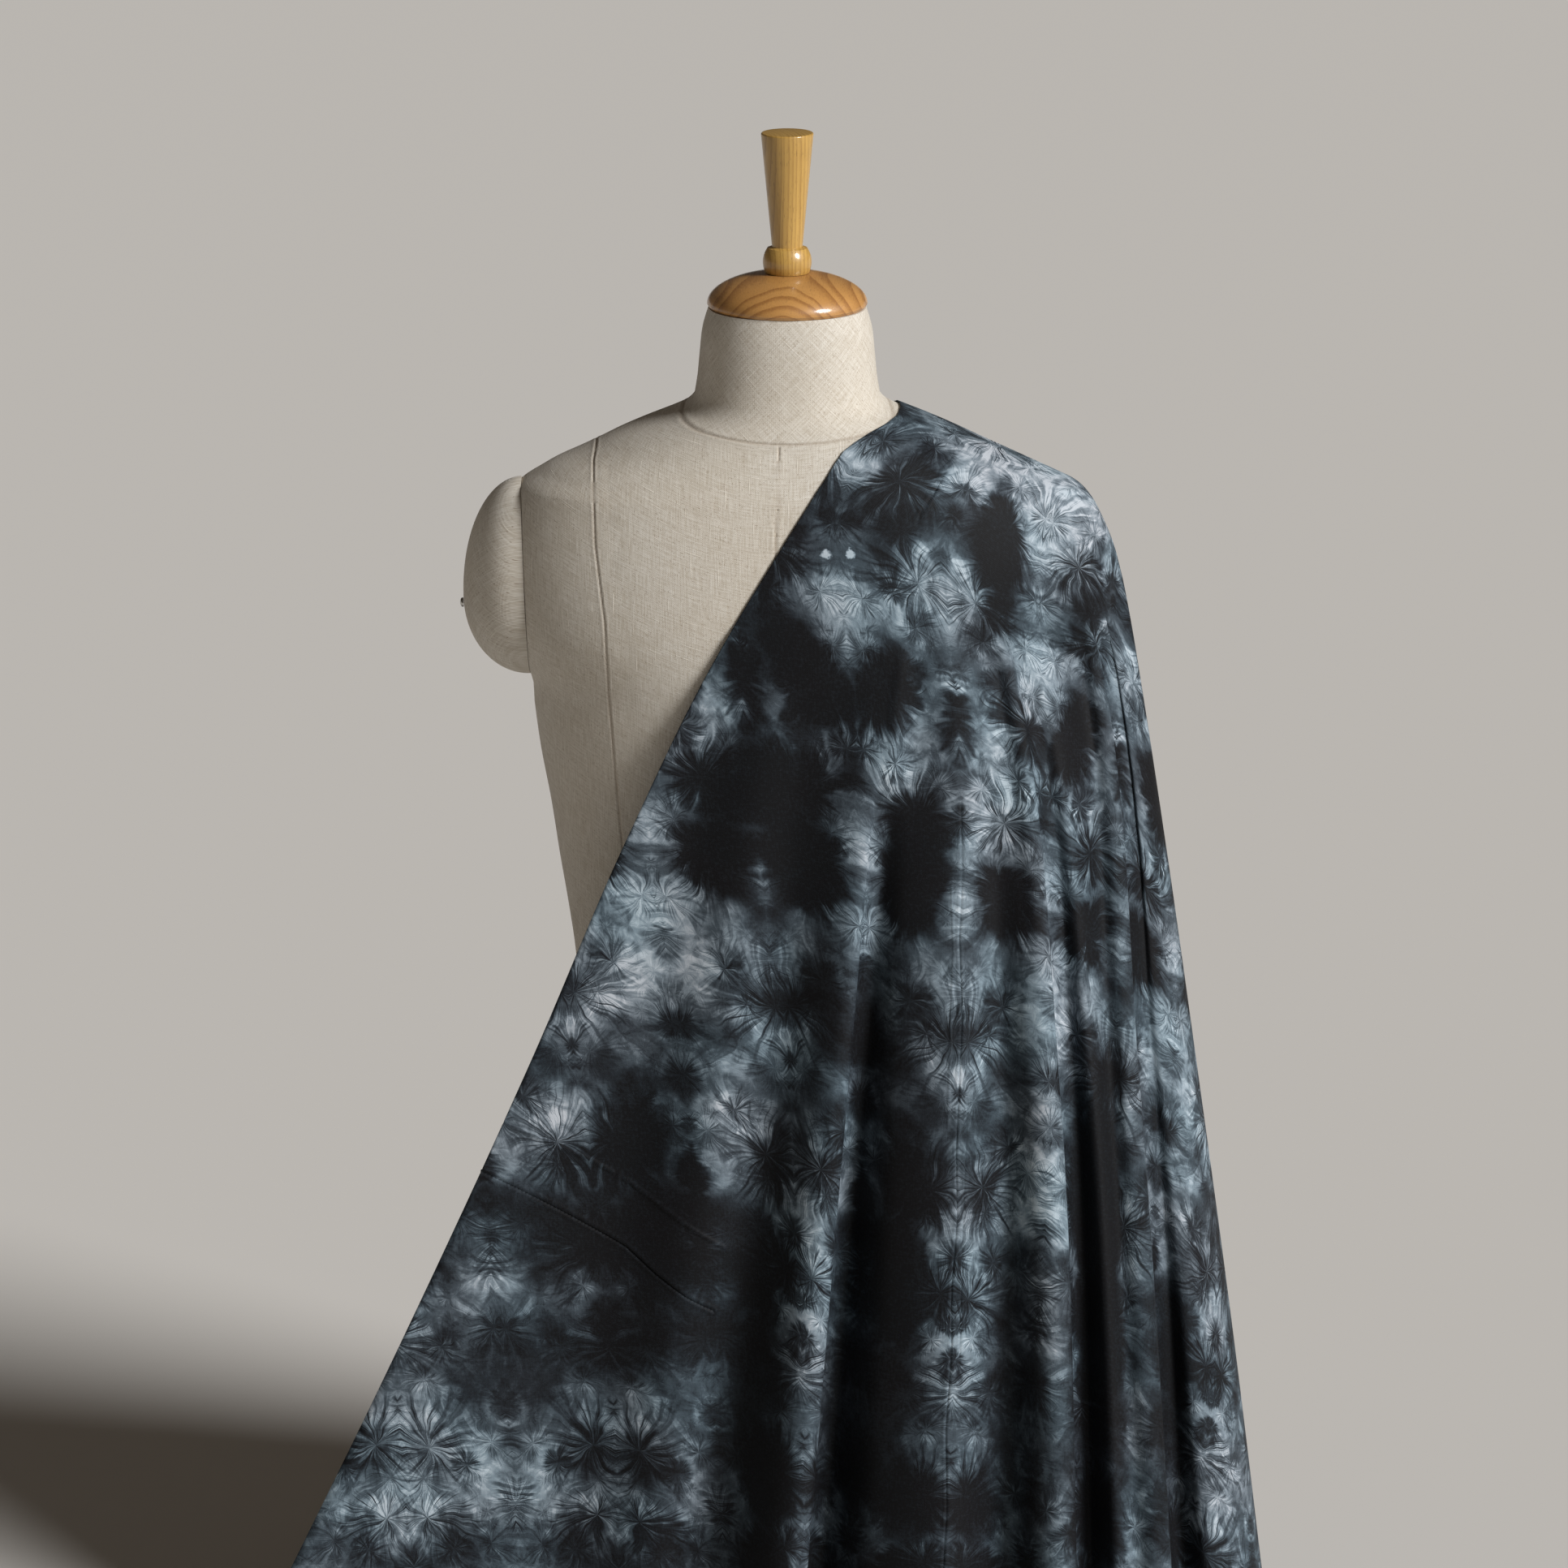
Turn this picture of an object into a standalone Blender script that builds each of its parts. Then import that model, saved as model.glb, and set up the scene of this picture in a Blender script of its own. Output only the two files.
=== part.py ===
"""A length of shibori-dyed cotton laid over one shoulder of a table-top dress form.

Metres, +Z up. The form faces -Y and the origin is at the middle of the foot's underside.
The cloth is one thin closed sheet: its front and back share the shoulder line and the
right-hand side line, and each is a net of columns that run from the shoulder to the hem.
"""
import math

import bmesh
import bpy
import numpy as np
from mathutils import Matrix, Vector

MM = 0.001
GAP = 0.3 * MM                  # between touching pieces

# Body of the form: one row for each level, depths from its mid plane, in millimetres
BODY_COLUMNS = ("height", "half_width", "front", "back")
BODY_SECTIONS = (
    (1010.0, 58.3, 57.0, 57.0),         # top of the neck, under the cap
    (997.0, 62.3, 60.0, 60.0),
    (974.0, 65.1, 62.5, 62.0),
    (954.0, 67.3, 65.0, 64.5),
    (942.0, 70.5, 68.0, 67.5),
    (935.5, 78.0, 70.5, 69.5),
    (930.5, 89.5, 73.0, 71.0),          # foot of the neck
    (923.5, 108.0, 76.0, 74.0),
    (915.5, 127.0, 79.0, 77.0),
    (907.0, 144.0, 83.0, 81.0),
    (900.0, 159.0, 86.0, 84.0),
    (893.5, 173.5, 89.0, 87.0),
    (886.5, 185.5, 92.0, 90.5),
    (879.0, 197.5, 95.0, 94.0),         # tip of the shoulder
    (864.0, 204.7, 99.5, 98.5),
    (840.0, 212.0, 106.0, 104.0),
    (806.0, 215.0, 113.0, 110.0),
    (770.0, 209.5, 117.5, 112.0),       # chest
    (745.0, 198.5, 117.5, 111.5),
    (732.0, 191.5, 117.0, 110.0),       # armpit
    (710.0, 189.2, 115.0, 108.0),
    (675.0, 184.6, 111.5, 104.0),
    (636.0, 177.5, 107.0, 98.0),
    (592.0, 171.0, 102.5, 93.0),
    (552.0, 164.5, 99.0, 89.0),
    (515.0, 159.5, 97.2, 87.0),
    (475.0, 157.5, 97.0, 88.0),         # waist
    (430.0, 160.5, 99.5, 93.0),
    (380.0, 167.5, 103.0, 102.0),
    (320.0, 174.0, 106.5, 111.0),
    (250.0, 176.5, 108.0, 115.0),       # hips
    (205.0, 175.0, 107.0, 114.0),
    (185.0, 172.0, 105.0, 112.0),       # lower end
)
BODY_POWER = 2.2                # 2 is an ellipse, more is squarer
BODY_AROUND = 36

# Arm joint: the body is cut flat here and the stub sits on the cut
JOINT_HEIGHT = 0.790
JOINT_X = 0.1939
JOINT_LEAN = math.atan2(6.0, 149.0)     # the cut leans out towards its top
STUB_REACH, STUB_DEPTH = 0.0475, 0.055
STUB_UP, STUB_DOWN = 0.091, 0.058       # the egg is longer above its widest level
STUB_AROUND, STUB_ALONG = 24, 16
PIN_RADIUS, PIN_LENGTH, PIN_LEVEL = 0.0035, 0.0025, -0.003      # level from the joint's middle

# Turned wood on the neck, radius and height of each turn
CAP_BOTTOM, CAP_RIM, CAP_RADIUS, CAP_RISE = 1.0103, 1.0125, 0.0594, 0.02375
CAP_SEAT_RADIUS, CAP_UNDERCUT = 0.0175, 0.0015
BALL_HEIGHT, BALL_RADIUS = 1.0435, 0.0181
HANDLE_FOOT, HANDLE_FOOT_RADIUS = 1.0540, 0.0114
HANDLE_TOP, HANDLE_TOP_RADIUS, HANDLE_EDGE = 1.1400, 0.0194, 0.0012
TURNED_AROUND = 24

# Hidden stand, finished plainly
BOARD_THICK, BOARD_INSET = 0.015, 0.004
POLE_RADIUS = 0.016
BASE_RADIUS, BASE_THICK, BASE_ROUND = 0.110, 0.024, 0.006

# Cloth
CLOTH_THICK = 1.0 * MM
CLOTH_CLEAR = 1.8 * MM          # from the body
STUB_CLEAR = 4.2 * MM           # from the rounder arm stub
SHOULDER_START, SHOULDER_END = 84.0, 227.0      # x where it lies over the shoulder, in millimetres
FRONT_EDGE = (                  # share of the fall, then x, in millimetres
    (0.0, 84.0), (0.006, 68.0), (0.015, 47.0), (0.035, 27.0), (0.07, 2.5), (0.11, -21.0),
    (0.16, -48.0), (0.32, -121.0), (0.50, -193.0), (0.75, -299.0), (1.0, -411.0),
)
RIGHT_SIDE = (
    (0.0, 227.0), (0.006, 230.0), (0.015, 234.0), (0.035, 241.5), (0.07, 249.5), (0.11, 256.5),
    (0.16, 264.0), (0.32, 286.0), (0.50, 309.0), (0.75, 339.5), (1.0, 367.0),
)
BACK_EDGE = (
    (0.0, 84.0), (0.006, 80.0), (0.015, 76.0), (0.035, 70.0), (0.07, 60.0), (0.11, 48.0),
    (0.16, 36.0), (0.32, 6.0), (0.50, -26.0), (0.75, -64.0), (1.0, -100.0),
)
# Lines that run down the cloth, from the front edge to the side and from the side to the
# back edge: x at four shares of the fall, how far each stands out at three of them, and,
# for a rolled fold, its depth at the hem and the share of the fall at which it starts
X_SHARES = (0.07, 0.16, 0.50, 1.0)
OUT_SHARES = (0.16, 0.50, 1.0)
LINE_COLUMNS = ("name", "x_shoulder", "x_breast", "x_waist", "x_hem",
                "out_breast", "out_waist", "out_hem", "fold_depth", "fold_start")
FRONT_LINES = (
    ("near_trough", 20.0, -24.0, -104.0, -176.0, 118.0, 120.0, 132.0, 0.0, 0.0),
    ("soft_ridge", 38.0, 4.0, -50.0, -112.0, 118.0, 131.0, 145.0, 0.0, 0.0),
    ("far_trough", 56.0, 30.0, -8.0, -66.0, 116.0, 123.0, 130.0, 0.0, 0.0),
    ("first_fold", 84.0, 73.0, 45.0, 8.0, 114.0, 144.0, 182.0, 54.0, 0.26),
    ("first_rise", 101.0, 95.0, 82.0, 58.0, 108.0, 138.0, 162.0, 0.0, 0.0),
    ("middle_ridge", 112.0, 122.0, 127.0, 116.0, 103.0, 143.0, 178.0, 0.0, 0.0),
    ("middle_trough", 125.0, 139.0, 162.0, 164.0, 95.0, 122.0, 140.0, 0.0, 0.0),
    ("third_fold", 146.0, 167.0, 201.0, 219.0, 84.0, 137.0, 174.0, 60.0, 0.10),
    ("third_rise", 172.0, 190.0, 226.0, 252.0, 66.0, 108.0, 136.0, 0.0, 0.0),
    ("fourth_fold", 214.0, 233.0, 262.0, 294.0, 34.0, 96.0, 134.0, 62.0, 0.06),
    ("fourth_rise", 231.0, 247.0, 281.0, 324.0, 19.0, 58.0, 88.0, 0.0, 0.0),
    ("fifth_ridge", 241.0, 256.0, 294.0, 347.0, 10.0, 48.0, 74.0, 0.0, 0.0),
)
BACK_LINES = (
    ("side_trough", 224.0, 238.0, 272.0, 300.0, 36.0, 76.0, 92.0, 0.0, 0.0),
    ("side_ridge", 196.0, 206.0, 236.0, 262.0, 66.0, 118.0, 152.0, 0.0, 0.0),
    ("back_trough", 160.0, 166.0, 180.0, 190.0, 88.0, 106.0, 118.0, 0.0, 0.0),
    ("back_ridge", 128.0, 125.0, 128.0, 126.0, 104.0, 130.0, 162.0, 0.0, 0.0),
    ("inner_trough", 94.0, 80.0, 52.0, 30.0, 110.0, 114.0, 124.0, 0.0, 0.0),
)
EDGE_OUT = (118.0, 128.0, 158.0)        # front edge: at the breast, the waist and the hem
BACK_EDGE_OUT = (110.0, 118.0, 142.0)
HEAD_WIDTH = 26.0               # rounded top of a rolled fold, in millimetres
HEAD_DROP = 8.0
HEAD_CROWN = 0.45               # place of the highest point, from the edge, as a share of the width
LEAN_BACK = 4.0                 # how far a rolled fold hangs over its own valley
VALLEY_STEP = 12.0
UNDER_SHARE = 0.55              # depth of the hollow behind a rolled fold's edge
FOLD_GROWTH = 0.6               # power of a fold's growth down the fall
SPREAD_AT_START = 0.4           # a fold's head is this much of its full width where it starts
# Columns of the net between neighbouring lines; a rolled fold takes four more steps
FRONT_STEPS = (6, 4, 3, 3, 3, 4, 3, 3, 2, 3, 2, 2, 3)
BACK_STEPS = (11, 11, 11, 11, 11, 10)
ROLL_STEPS = (2, 2, 2, 2)       # head to crown, crown to edge, edge to under, under to valley
FALL_SHARES = (0.0, 0.0016, 0.0055, 0.0115, 0.020, 0.034, 0.055, 0.085, 0.125,
               0.18, 0.26, 0.37, 0.50, 0.66, 0.83, 1.0)

# Colours, from the photo: red, green, blue, roughness, metallic
FINISHES = {
    "ink_cotton": (0.055, 0.072, 0.098, 0.85, 0.0),
    "natural_linen": (0.50, 0.43, 0.34, 0.92, 0.0),
    "waxed_wood": (0.55, 0.30, 0.10, 0.30, 0.0),
    "pin_metal": (0.60, 0.58, 0.55, 0.35, 1.0),
    "dark_iron": (0.03, 0.03, 0.03, 0.50, 0.6),
}


def finish(name):
    """Return the material of this name, made on first use."""
    material = bpy.data.materials.get(name)
    if material is None:
        red, green, blue, roughness, metallic = FINISHES[name]
        material = bpy.data.materials.new(name)
        material.use_nodes = True
        shader = material.node_tree.nodes["Principled BSDF"]
        shader.inputs["Base Color"].default_value = (red, green, blue, 1.0)
        shader.inputs["Roughness"].default_value = roughness
        shader.inputs["Metallic"].default_value = metallic
    return material


def new_object(name, mesh, material):
    """Put a mesh in the part's collection as an object with its own finish."""
    obj = bpy.data.objects.new(name, mesh)
    obj.data.materials.append(finish(material))
    bpy.data.collections["shibori_cloth_on_form"].objects.link(obj)
    return obj


def mesh_from_bmesh(name, bm, smooth_below=math.radians(40)):
    """Turn a bmesh into a shaded mesh."""
    mesh = bpy.data.meshes.new(name)
    bmesh.ops.recalc_face_normals(bm, faces=bm.faces)
    bm.to_mesh(mesh)
    bm.free()
    mesh.shade_smooth()
    mesh.set_sharp_from_angle(angle=smooth_below)
    return mesh


def smooth_curve(keys, values, at):
    """Smooth curve through values at uneven keys, each column of values on its own."""
    keys, values, at = np.asarray(keys, float), np.asarray(values, float), np.asarray(at, float)
    step = np.diff(keys)
    rise = np.diff(values, axis=0) / step.reshape(-1, *[1] * (values.ndim - 1))
    slope = np.empty_like(values)
    slope[0], slope[-1] = rise[0], rise[-1]
    for i in range(1, len(keys) - 1):
        slope[i] = (rise[i - 1] * step[i] + rise[i] * step[i - 1]) / (step[i] + step[i - 1])
    i = np.clip(np.searchsorted(keys, at, side="right") - 1, 0, len(step) - 1)
    s = (at - keys[i]) / step[i]
    if values.ndim > 1:
        s = s[:, None]
        width = step[i][:, None]
    else:
        width = step[i]
    return (values[i] * (2 * s ** 3 - 3 * s ** 2 + 1) + slope[i] * width * (s ** 3 - 2 * s ** 2 + s)
            + values[i + 1] * (3 * s ** 2 - 2 * s ** 3) + slope[i + 1] * width * (s ** 3 - s ** 2))


# Body of the form

def build_torso():
    """Loft the body's sections, then cut it flat where each arm stub sits."""
    bm = bmesh.new()
    rings = []
    for height, half_width, front, back in BODY_SECTIONS:
        ring = []
        for i in range(BODY_AROUND):
            turn = 2 * math.pi * i / BODY_AROUND
            side, ahead = math.cos(turn), math.sin(turn)
            x = half_width * math.copysign(abs(side) ** (2 / BODY_POWER), side)
            depth = front if ahead < 0 else back
            y = depth * math.copysign(abs(ahead) ** (2 / BODY_POWER), ahead)
            ring.append(bm.verts.new((x * MM, y * MM, height * MM)))
        rings.append(ring)
    for upper, lower in zip(rings, rings[1:]):
        for i in range(BODY_AROUND):
            j = (i + 1) % BODY_AROUND
            bm.faces.new((upper[i], upper[j], lower[j], lower[i]))
    bm.faces.new(rings[0])
    bm.faces.new(list(reversed(rings[-1])))
    for side in (-1, 1):
        cut = bmesh.ops.bisect_plane(
            bm, geom=list(bm.verts) + list(bm.edges) + list(bm.faces), clear_outer=True,
            plane_co=(side * JOINT_X, 0, JOINT_HEIGHT), dist=1e-6,
            plane_no=(side * math.cos(JOINT_LEAN), 0, -math.sin(JOINT_LEAN)))
        rim = [e for e in cut["geom_cut"] if isinstance(e, bmesh.types.BMEdge)]
        bmesh.ops.contextual_create(bm, geom=rim)
    new_object("form_torso", mesh_from_bmesh("form_torso", bm), "natural_linen")


def joint_place(side):
    """Place of an arm joint's flat face, leaning out towards its top."""
    return (Matrix.Translation((side * (JOINT_X + GAP), 0, JOINT_HEIGHT))
            @ Matrix.Rotation(side * JOINT_LEAN, 4, "Y"))


def build_arm_stub(name, side):
    """Half an egg shape with its flat face on the body's cut."""
    bm = bmesh.new()
    bmesh.ops.create_uvsphere(bm, u_segments=STUB_AROUND, v_segments=STUB_ALONG, radius=1.0)
    for vert in bm.verts:
        vert.co.x *= STUB_REACH
        vert.co.y *= STUB_DEPTH
        vert.co.z *= STUB_UP if vert.co.z > 0 else STUB_DOWN
    cut = bmesh.ops.bisect_plane(
        bm, geom=list(bm.verts) + list(bm.edges) + list(bm.faces), clear_inner=True,
        plane_co=(0, 0, 0), plane_no=(side, 0, 0), dist=1e-6)
    rim = [e for e in cut["geom_cut"] if isinstance(e, bmesh.types.BMEdge)]
    bmesh.ops.contextual_create(bm, geom=rim)
    bmesh.ops.transform(bm, matrix=joint_place(side), verts=bm.verts)
    new_object(name, mesh_from_bmesh(name, bm), "natural_linen")


def build_arm_pin():
    """Small metal pin on the outer side of the bare arm stub, where it stands out furthest."""
    seat = STUB_REACH + GAP
    bm = bmesh.new()
    bmesh.ops.create_cone(bm, cap_ends=True, segments=16, radius1=PIN_RADIUS, radius2=PIN_RADIUS,
                          depth=PIN_LENGTH)
    place = (joint_place(-1) @ Matrix.Translation((-(seat + PIN_LENGTH / 2), 0, PIN_LEVEL))
             @ Matrix.Rotation(math.pi / 2, 4, "Y"))
    bmesh.ops.transform(bm, matrix=place, verts=bm.verts)
    new_object("arm_pin", mesh_from_bmesh("arm_pin", bm), "pin_metal")


# Turned pieces

def turned(name, profile, material):
    """Spin a profile of radius and height pairs, top to bottom, about the vertical axis."""
    mesh = bpy.data.meshes.new(name)
    mesh.from_pydata([(r, 0, z) for r, z in profile], [(i, i + 1) for i in range(len(profile) - 1)], [])
    obj = new_object(name, mesh, material)
    screw = obj.modifiers.new("Turn", "SCREW")
    screw.steps = screw.render_steps = TURNED_AROUND
    screw.use_merge_vertices = True
    screw.merge_threshold = 0.01 * MM
    return obj


def arc(radius, rise, base, start, end, count):
    """Points of a quarter-oval turn between two angles from the level."""
    return [(radius * math.cos(a), base + rise * math.sin(a))
            for a in (start + (end - start) * i / count for i in range(count + 1))]


def build_neck_cap():
    """Dome with a small flat seat for the finial."""
    seat_angle = math.acos(CAP_SEAT_RADIUS / CAP_RADIUS)
    dome = arc(CAP_RADIUS, CAP_RISE, CAP_RIM, seat_angle, 0, 9)
    turned("neck_cap", [(0, dome[0][1])] + dome + [(CAP_RADIUS - CAP_UNDERCUT, CAP_BOTTOM), (0, CAP_BOTTOM)],
           "waxed_wood")


def build_finial():
    """Handle that widens towards its top, with a ball at its foot."""
    seat = CAP_RIM + CAP_RISE * math.sin(math.acos(CAP_SEAT_RADIUS / CAP_RADIUS)) + GAP
    top_angle = math.asin((HANDLE_FOOT - BALL_HEIGHT) / BALL_RADIUS)
    foot_angle = math.asin((seat - BALL_HEIGHT) / BALL_RADIUS)
    ball = arc(BALL_RADIUS, BALL_RADIUS, BALL_HEIGHT, top_angle, foot_angle, 8)
    handle = [(0, HANDLE_TOP), (HANDLE_TOP_RADIUS - HANDLE_EDGE, HANDLE_TOP),
              (HANDLE_TOP_RADIUS, HANDLE_TOP - HANDLE_EDGE), (HANDLE_FOOT_RADIUS, HANDLE_FOOT + HANDLE_EDGE)]
    turned("finial", handle + ball + [(0, seat)], "waxed_wood")


def build_stand():
    """Board under the body, short pole and round foot."""
    height, half_width, front, back = (value * MM for value in BODY_SECTIONS[-1])
    board_top = height - GAP
    bm = bmesh.new()
    bmesh.ops.create_cone(bm, cap_ends=True, segments=BODY_AROUND, radius1=1, radius2=1, depth=BOARD_THICK)
    for vert in bm.verts:
        depth = (front if vert.co.y < 0 else back) - BOARD_INSET
        vert.co.x *= half_width - BOARD_INSET
        vert.co.y *= depth
        vert.co.z += board_top - BOARD_THICK / 2
    new_object("bottom_board", mesh_from_bmesh("bottom_board", bm), "waxed_wood")
    pole_top = board_top - BOARD_THICK - GAP
    pole_foot = BASE_THICK + GAP
    turned("stand_pole", [(0, pole_top), (POLE_RADIUS, pole_top), (POLE_RADIUS, pole_foot), (0, pole_foot)],
           "dark_iron")
    rim = arc(BASE_ROUND, BASE_ROUND, BASE_THICK - BASE_ROUND, math.pi / 2, 0, 4)
    outline = [(BASE_RADIUS - BASE_ROUND + r, z) for r, z in rim]
    turned("stand_base", [(0, BASE_THICK)] + outline + [(BASE_RADIUS, 0), (0, 0)], "waxed_wood")


# Cloth

def form_depth(x, z, back):
    """How far the form and its clearance stand out from its mid plane at x and height z, in millimetres."""
    clear = CLOTH_CLEAR / MM
    body = dict(zip(BODY_COLUMNS, np.array(BODY_SECTIONS[::-1]).T))
    half_width = np.interp(z - clear, body["height"], body["half_width"]) + clear
    depth = np.interp(z - clear, body["height"], body["back" if back else "front"]) + clear
    torso = depth * np.clip(1 - (np.abs(x) / half_width) ** BODY_POWER, 0, None) ** (1 / BODY_POWER)
    lean = math.tan(JOINT_LEAN) * (z - JOINT_HEIGHT / MM)
    clear = STUB_CLEAR / MM
    along = (x - JOINT_X / MM - lean) / (STUB_REACH / MM + clear)
    up = z - JOINT_HEIGHT / MM
    up = up / (np.where(up > 0, STUB_UP, STUB_DOWN) / MM + clear)
    stub = (STUB_DEPTH / MM + clear) * np.sqrt(np.clip(1 - along ** 2 - up ** 2, 0, None))
    return np.maximum(torso, np.where(along > 0, stub, 0))


def shoulder_height(xs):
    """Height of the form's top with its clearance at each x, in millimetres."""
    levels = np.arange(JOINT_HEIGHT / MM, BODY_SECTIONS[0][0], 0.25)
    return np.array([levels[form_depth(x, levels, False) > 0].max() for x in xs])


def line_points(row, share):
    """Key points of one line at a share of the fall: x and how far it stands out, in millimetres."""
    line = dict(zip(LINE_COLUMNS, row))
    xs = (line["x_shoulder"], line["x_breast"], line["x_waist"], line["x_hem"])
    x = smooth_curve(X_SHARES, xs, [max(share, X_SHARES[0])])[0]
    out = out_at((line["out_breast"], line["out_waist"], line["out_hem"]), share)
    if not line["fold_depth"]:
        return [(x, out)]
    start = line["fold_start"]
    grown = (max(share - start, 0) / (1 - start)) ** FOLD_GROWTH
    depth = line["fold_depth"] * grown
    spread = SPREAD_AT_START + (1 - SPREAD_AT_START) * grown
    return [(x - HEAD_WIDTH * spread, out - HEAD_DROP * grown / 2),
            (x - HEAD_WIDTH * HEAD_CROWN * spread, out),
            (x, out - HEAD_DROP * grown),
            (x + VALLEY_STEP * (1 - grown) / 3 - LEAN_BACK * grown, out - depth * UNDER_SHARE),
            (x + VALLEY_STEP, out - depth)]


def out_at(values, share):
    """A line's distance from the mid plane at a share of the fall, growing from nothing at the shoulder."""
    if share < OUT_SHARES[0]:
        return values[0] * math.sqrt(share / OUT_SHARES[0])
    return smooth_curve(OUT_SHARES, values, [share])[0]


def cloth_rows():
    """Rows of points from the front edge round the side to the back edge, shoulder to hem."""
    half = sum(BACK_STEPS)
    xs = np.linspace(SHOULDER_START, SHOULDER_END, half + 1)
    tops = shoulder_height(xs)
    xs, tops = (np.concatenate((line, line[-2::-1])) for line in (xs, tops))
    even = (xs - SHOULDER_START) / (SHOULDER_END - SHOULDER_START)
    rows = [np.column_stack((xs, np.zeros_like(xs), tops))]
    steps = front_steps() + list(BACK_STEPS)
    for share in FALL_SHARES[1:]:
        front_x, side_x, back_x = (smooth_curve(*zip(*edge), [share])[0]
                                   for edge in (FRONT_EDGE, RIGHT_SIDE, BACK_EDGE))
        front = [(front_x, out_at(EDGE_OUT, share))]
        front += [point for row in FRONT_LINES for point in line_points(row, share)]
        back = [point for row in BACK_LINES for point in line_points(row, share)]
        back += [(back_x, out_at(BACK_EDGE_OUT, share))]
        points = np.array([(x, -out) for x, out in front] + [(side_x, 0.0)] + back)
        chords = np.sqrt(np.linalg.norm(np.diff(points, axis=0), axis=1))
        keys = np.concatenate(([0], np.cumsum(chords)))
        at = [np.linspace(keys[i], keys[i + 1], n, endpoint=False) for i, n in enumerate(steps)]
        row = smooth_curve(keys, points, np.concatenate(at + [[keys[-1]]]))
        edge_x = np.where(np.arange(len(xs)) < half, front_x, back_x)
        blend = min(share / X_SHARES[0], 1.0)
        x = (edge_x + (side_x - edge_x) * even) * (1 - blend) + row[:, 0] * blend
        z = tops * (1 - share)
        y = row[:, 1]
        y = np.where(y < 0, np.minimum(y, -form_depth(x, z, False)), np.maximum(y, form_depth(x, z, True)))
        rows.append(np.column_stack((x, y, z)))
    return np.array(rows)


def front_steps():
    """Columns between neighbouring key points of the front, with those of the rolled folds."""
    steps = []
    for row, count in zip(FRONT_LINES, FRONT_STEPS):
        steps += [count, *ROLL_STEPS] if row[LINE_COLUMNS.index("fold_depth")] else [count]
    return steps + [FRONT_STEPS[-1]]


def build_cloth():
    """Net of columns and rows, welded to itself along the shoulder, with the sheet's thickness."""
    bm = bmesh.new()
    net = [[bm.verts.new(Vector(point) * MM) for point in row] for row in cloth_rows()]
    for upper, lower in zip(net, net[1:]):
        for i in range(len(upper) - 1):
            bm.faces.new((upper[i], lower[i], lower[i + 1], upper[i + 1]))
    bmesh.ops.remove_doubles(bm, verts=net[0], dist=0.05 * MM)
    mesh = bpy.data.meshes.new("shibori_cloth")
    bm.to_mesh(mesh)
    bm.free()
    cloth = new_object("shibori_cloth", mesh, "ink_cotton")
    solid = cloth.modifiers.new("Thickness", "SOLIDIFY")
    solid.thickness = CLOTH_THICK
    solid.offset = 1.0
    solid.use_even_offset = True
    settle_hem(cloth)


def settle_hem(cloth):
    """Keep the finished sheet as a mesh whose hem is flat on the surface."""
    seen = cloth.evaluated_get(bpy.context.evaluated_depsgraph_get())
    mesh = bpy.data.meshes.new_from_object(seen)
    cloth.modifiers.clear()
    cloth.data = mesh
    for vert in mesh.vertices:
        if vert.co.z < CLOTH_THICK:
            vert.co.z = 0.0
    mesh.shade_smooth()


def main():
    for old in list(bpy.data.objects):
        bpy.data.objects.remove(old)
    home = bpy.data.collections.new("shibori_cloth_on_form")
    bpy.context.scene.collection.children.link(home)
    build_torso()
    build_arm_stub("arm_stub_left", -1)
    build_arm_stub("arm_stub_right", 1)
    build_arm_pin()
    build_neck_cap()
    build_finial()
    build_stand()
    build_cloth()


main()
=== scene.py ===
"""Shibori-dyed cotton over one shoulder of a linen dress form: fine shapes, finishes and studio.

Metres, +Z up. The form faces -Y and stands on the origin. Tables marked as millimetres hold
the same sizes as the part's construction, and the shapes here are finer forms of its solids.
"""

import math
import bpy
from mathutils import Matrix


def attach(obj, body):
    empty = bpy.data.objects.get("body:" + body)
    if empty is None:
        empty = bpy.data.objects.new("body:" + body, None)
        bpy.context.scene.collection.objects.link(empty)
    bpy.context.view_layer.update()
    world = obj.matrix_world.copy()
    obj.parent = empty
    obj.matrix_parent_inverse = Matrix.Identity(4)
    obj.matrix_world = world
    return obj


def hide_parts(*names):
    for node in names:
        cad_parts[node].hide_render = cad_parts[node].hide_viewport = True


bl_info = {
    "name": "Shibori Cloth on a Dress Form",
    "version": (1, 0, 0),
    "blender": (4, 5, 0),
    "location": "View3D > Sidebar > Shibori",
    "description": "Drapes dyed cotton over a linen dress form with turned wood and a short stand",
    "category": "Object",
}

import bpy
import numpy as np
from bpy.props import FloatProperty, FloatVectorProperty, IntProperty, PointerProperty
from mathutils import Matrix

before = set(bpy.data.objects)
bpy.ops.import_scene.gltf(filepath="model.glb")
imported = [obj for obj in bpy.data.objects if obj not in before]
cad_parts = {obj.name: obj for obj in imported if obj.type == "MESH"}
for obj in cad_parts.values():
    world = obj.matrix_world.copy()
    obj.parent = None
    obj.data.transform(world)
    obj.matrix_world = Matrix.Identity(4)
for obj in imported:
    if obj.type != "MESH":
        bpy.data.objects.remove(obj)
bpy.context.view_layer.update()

MM = 0.001

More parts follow.
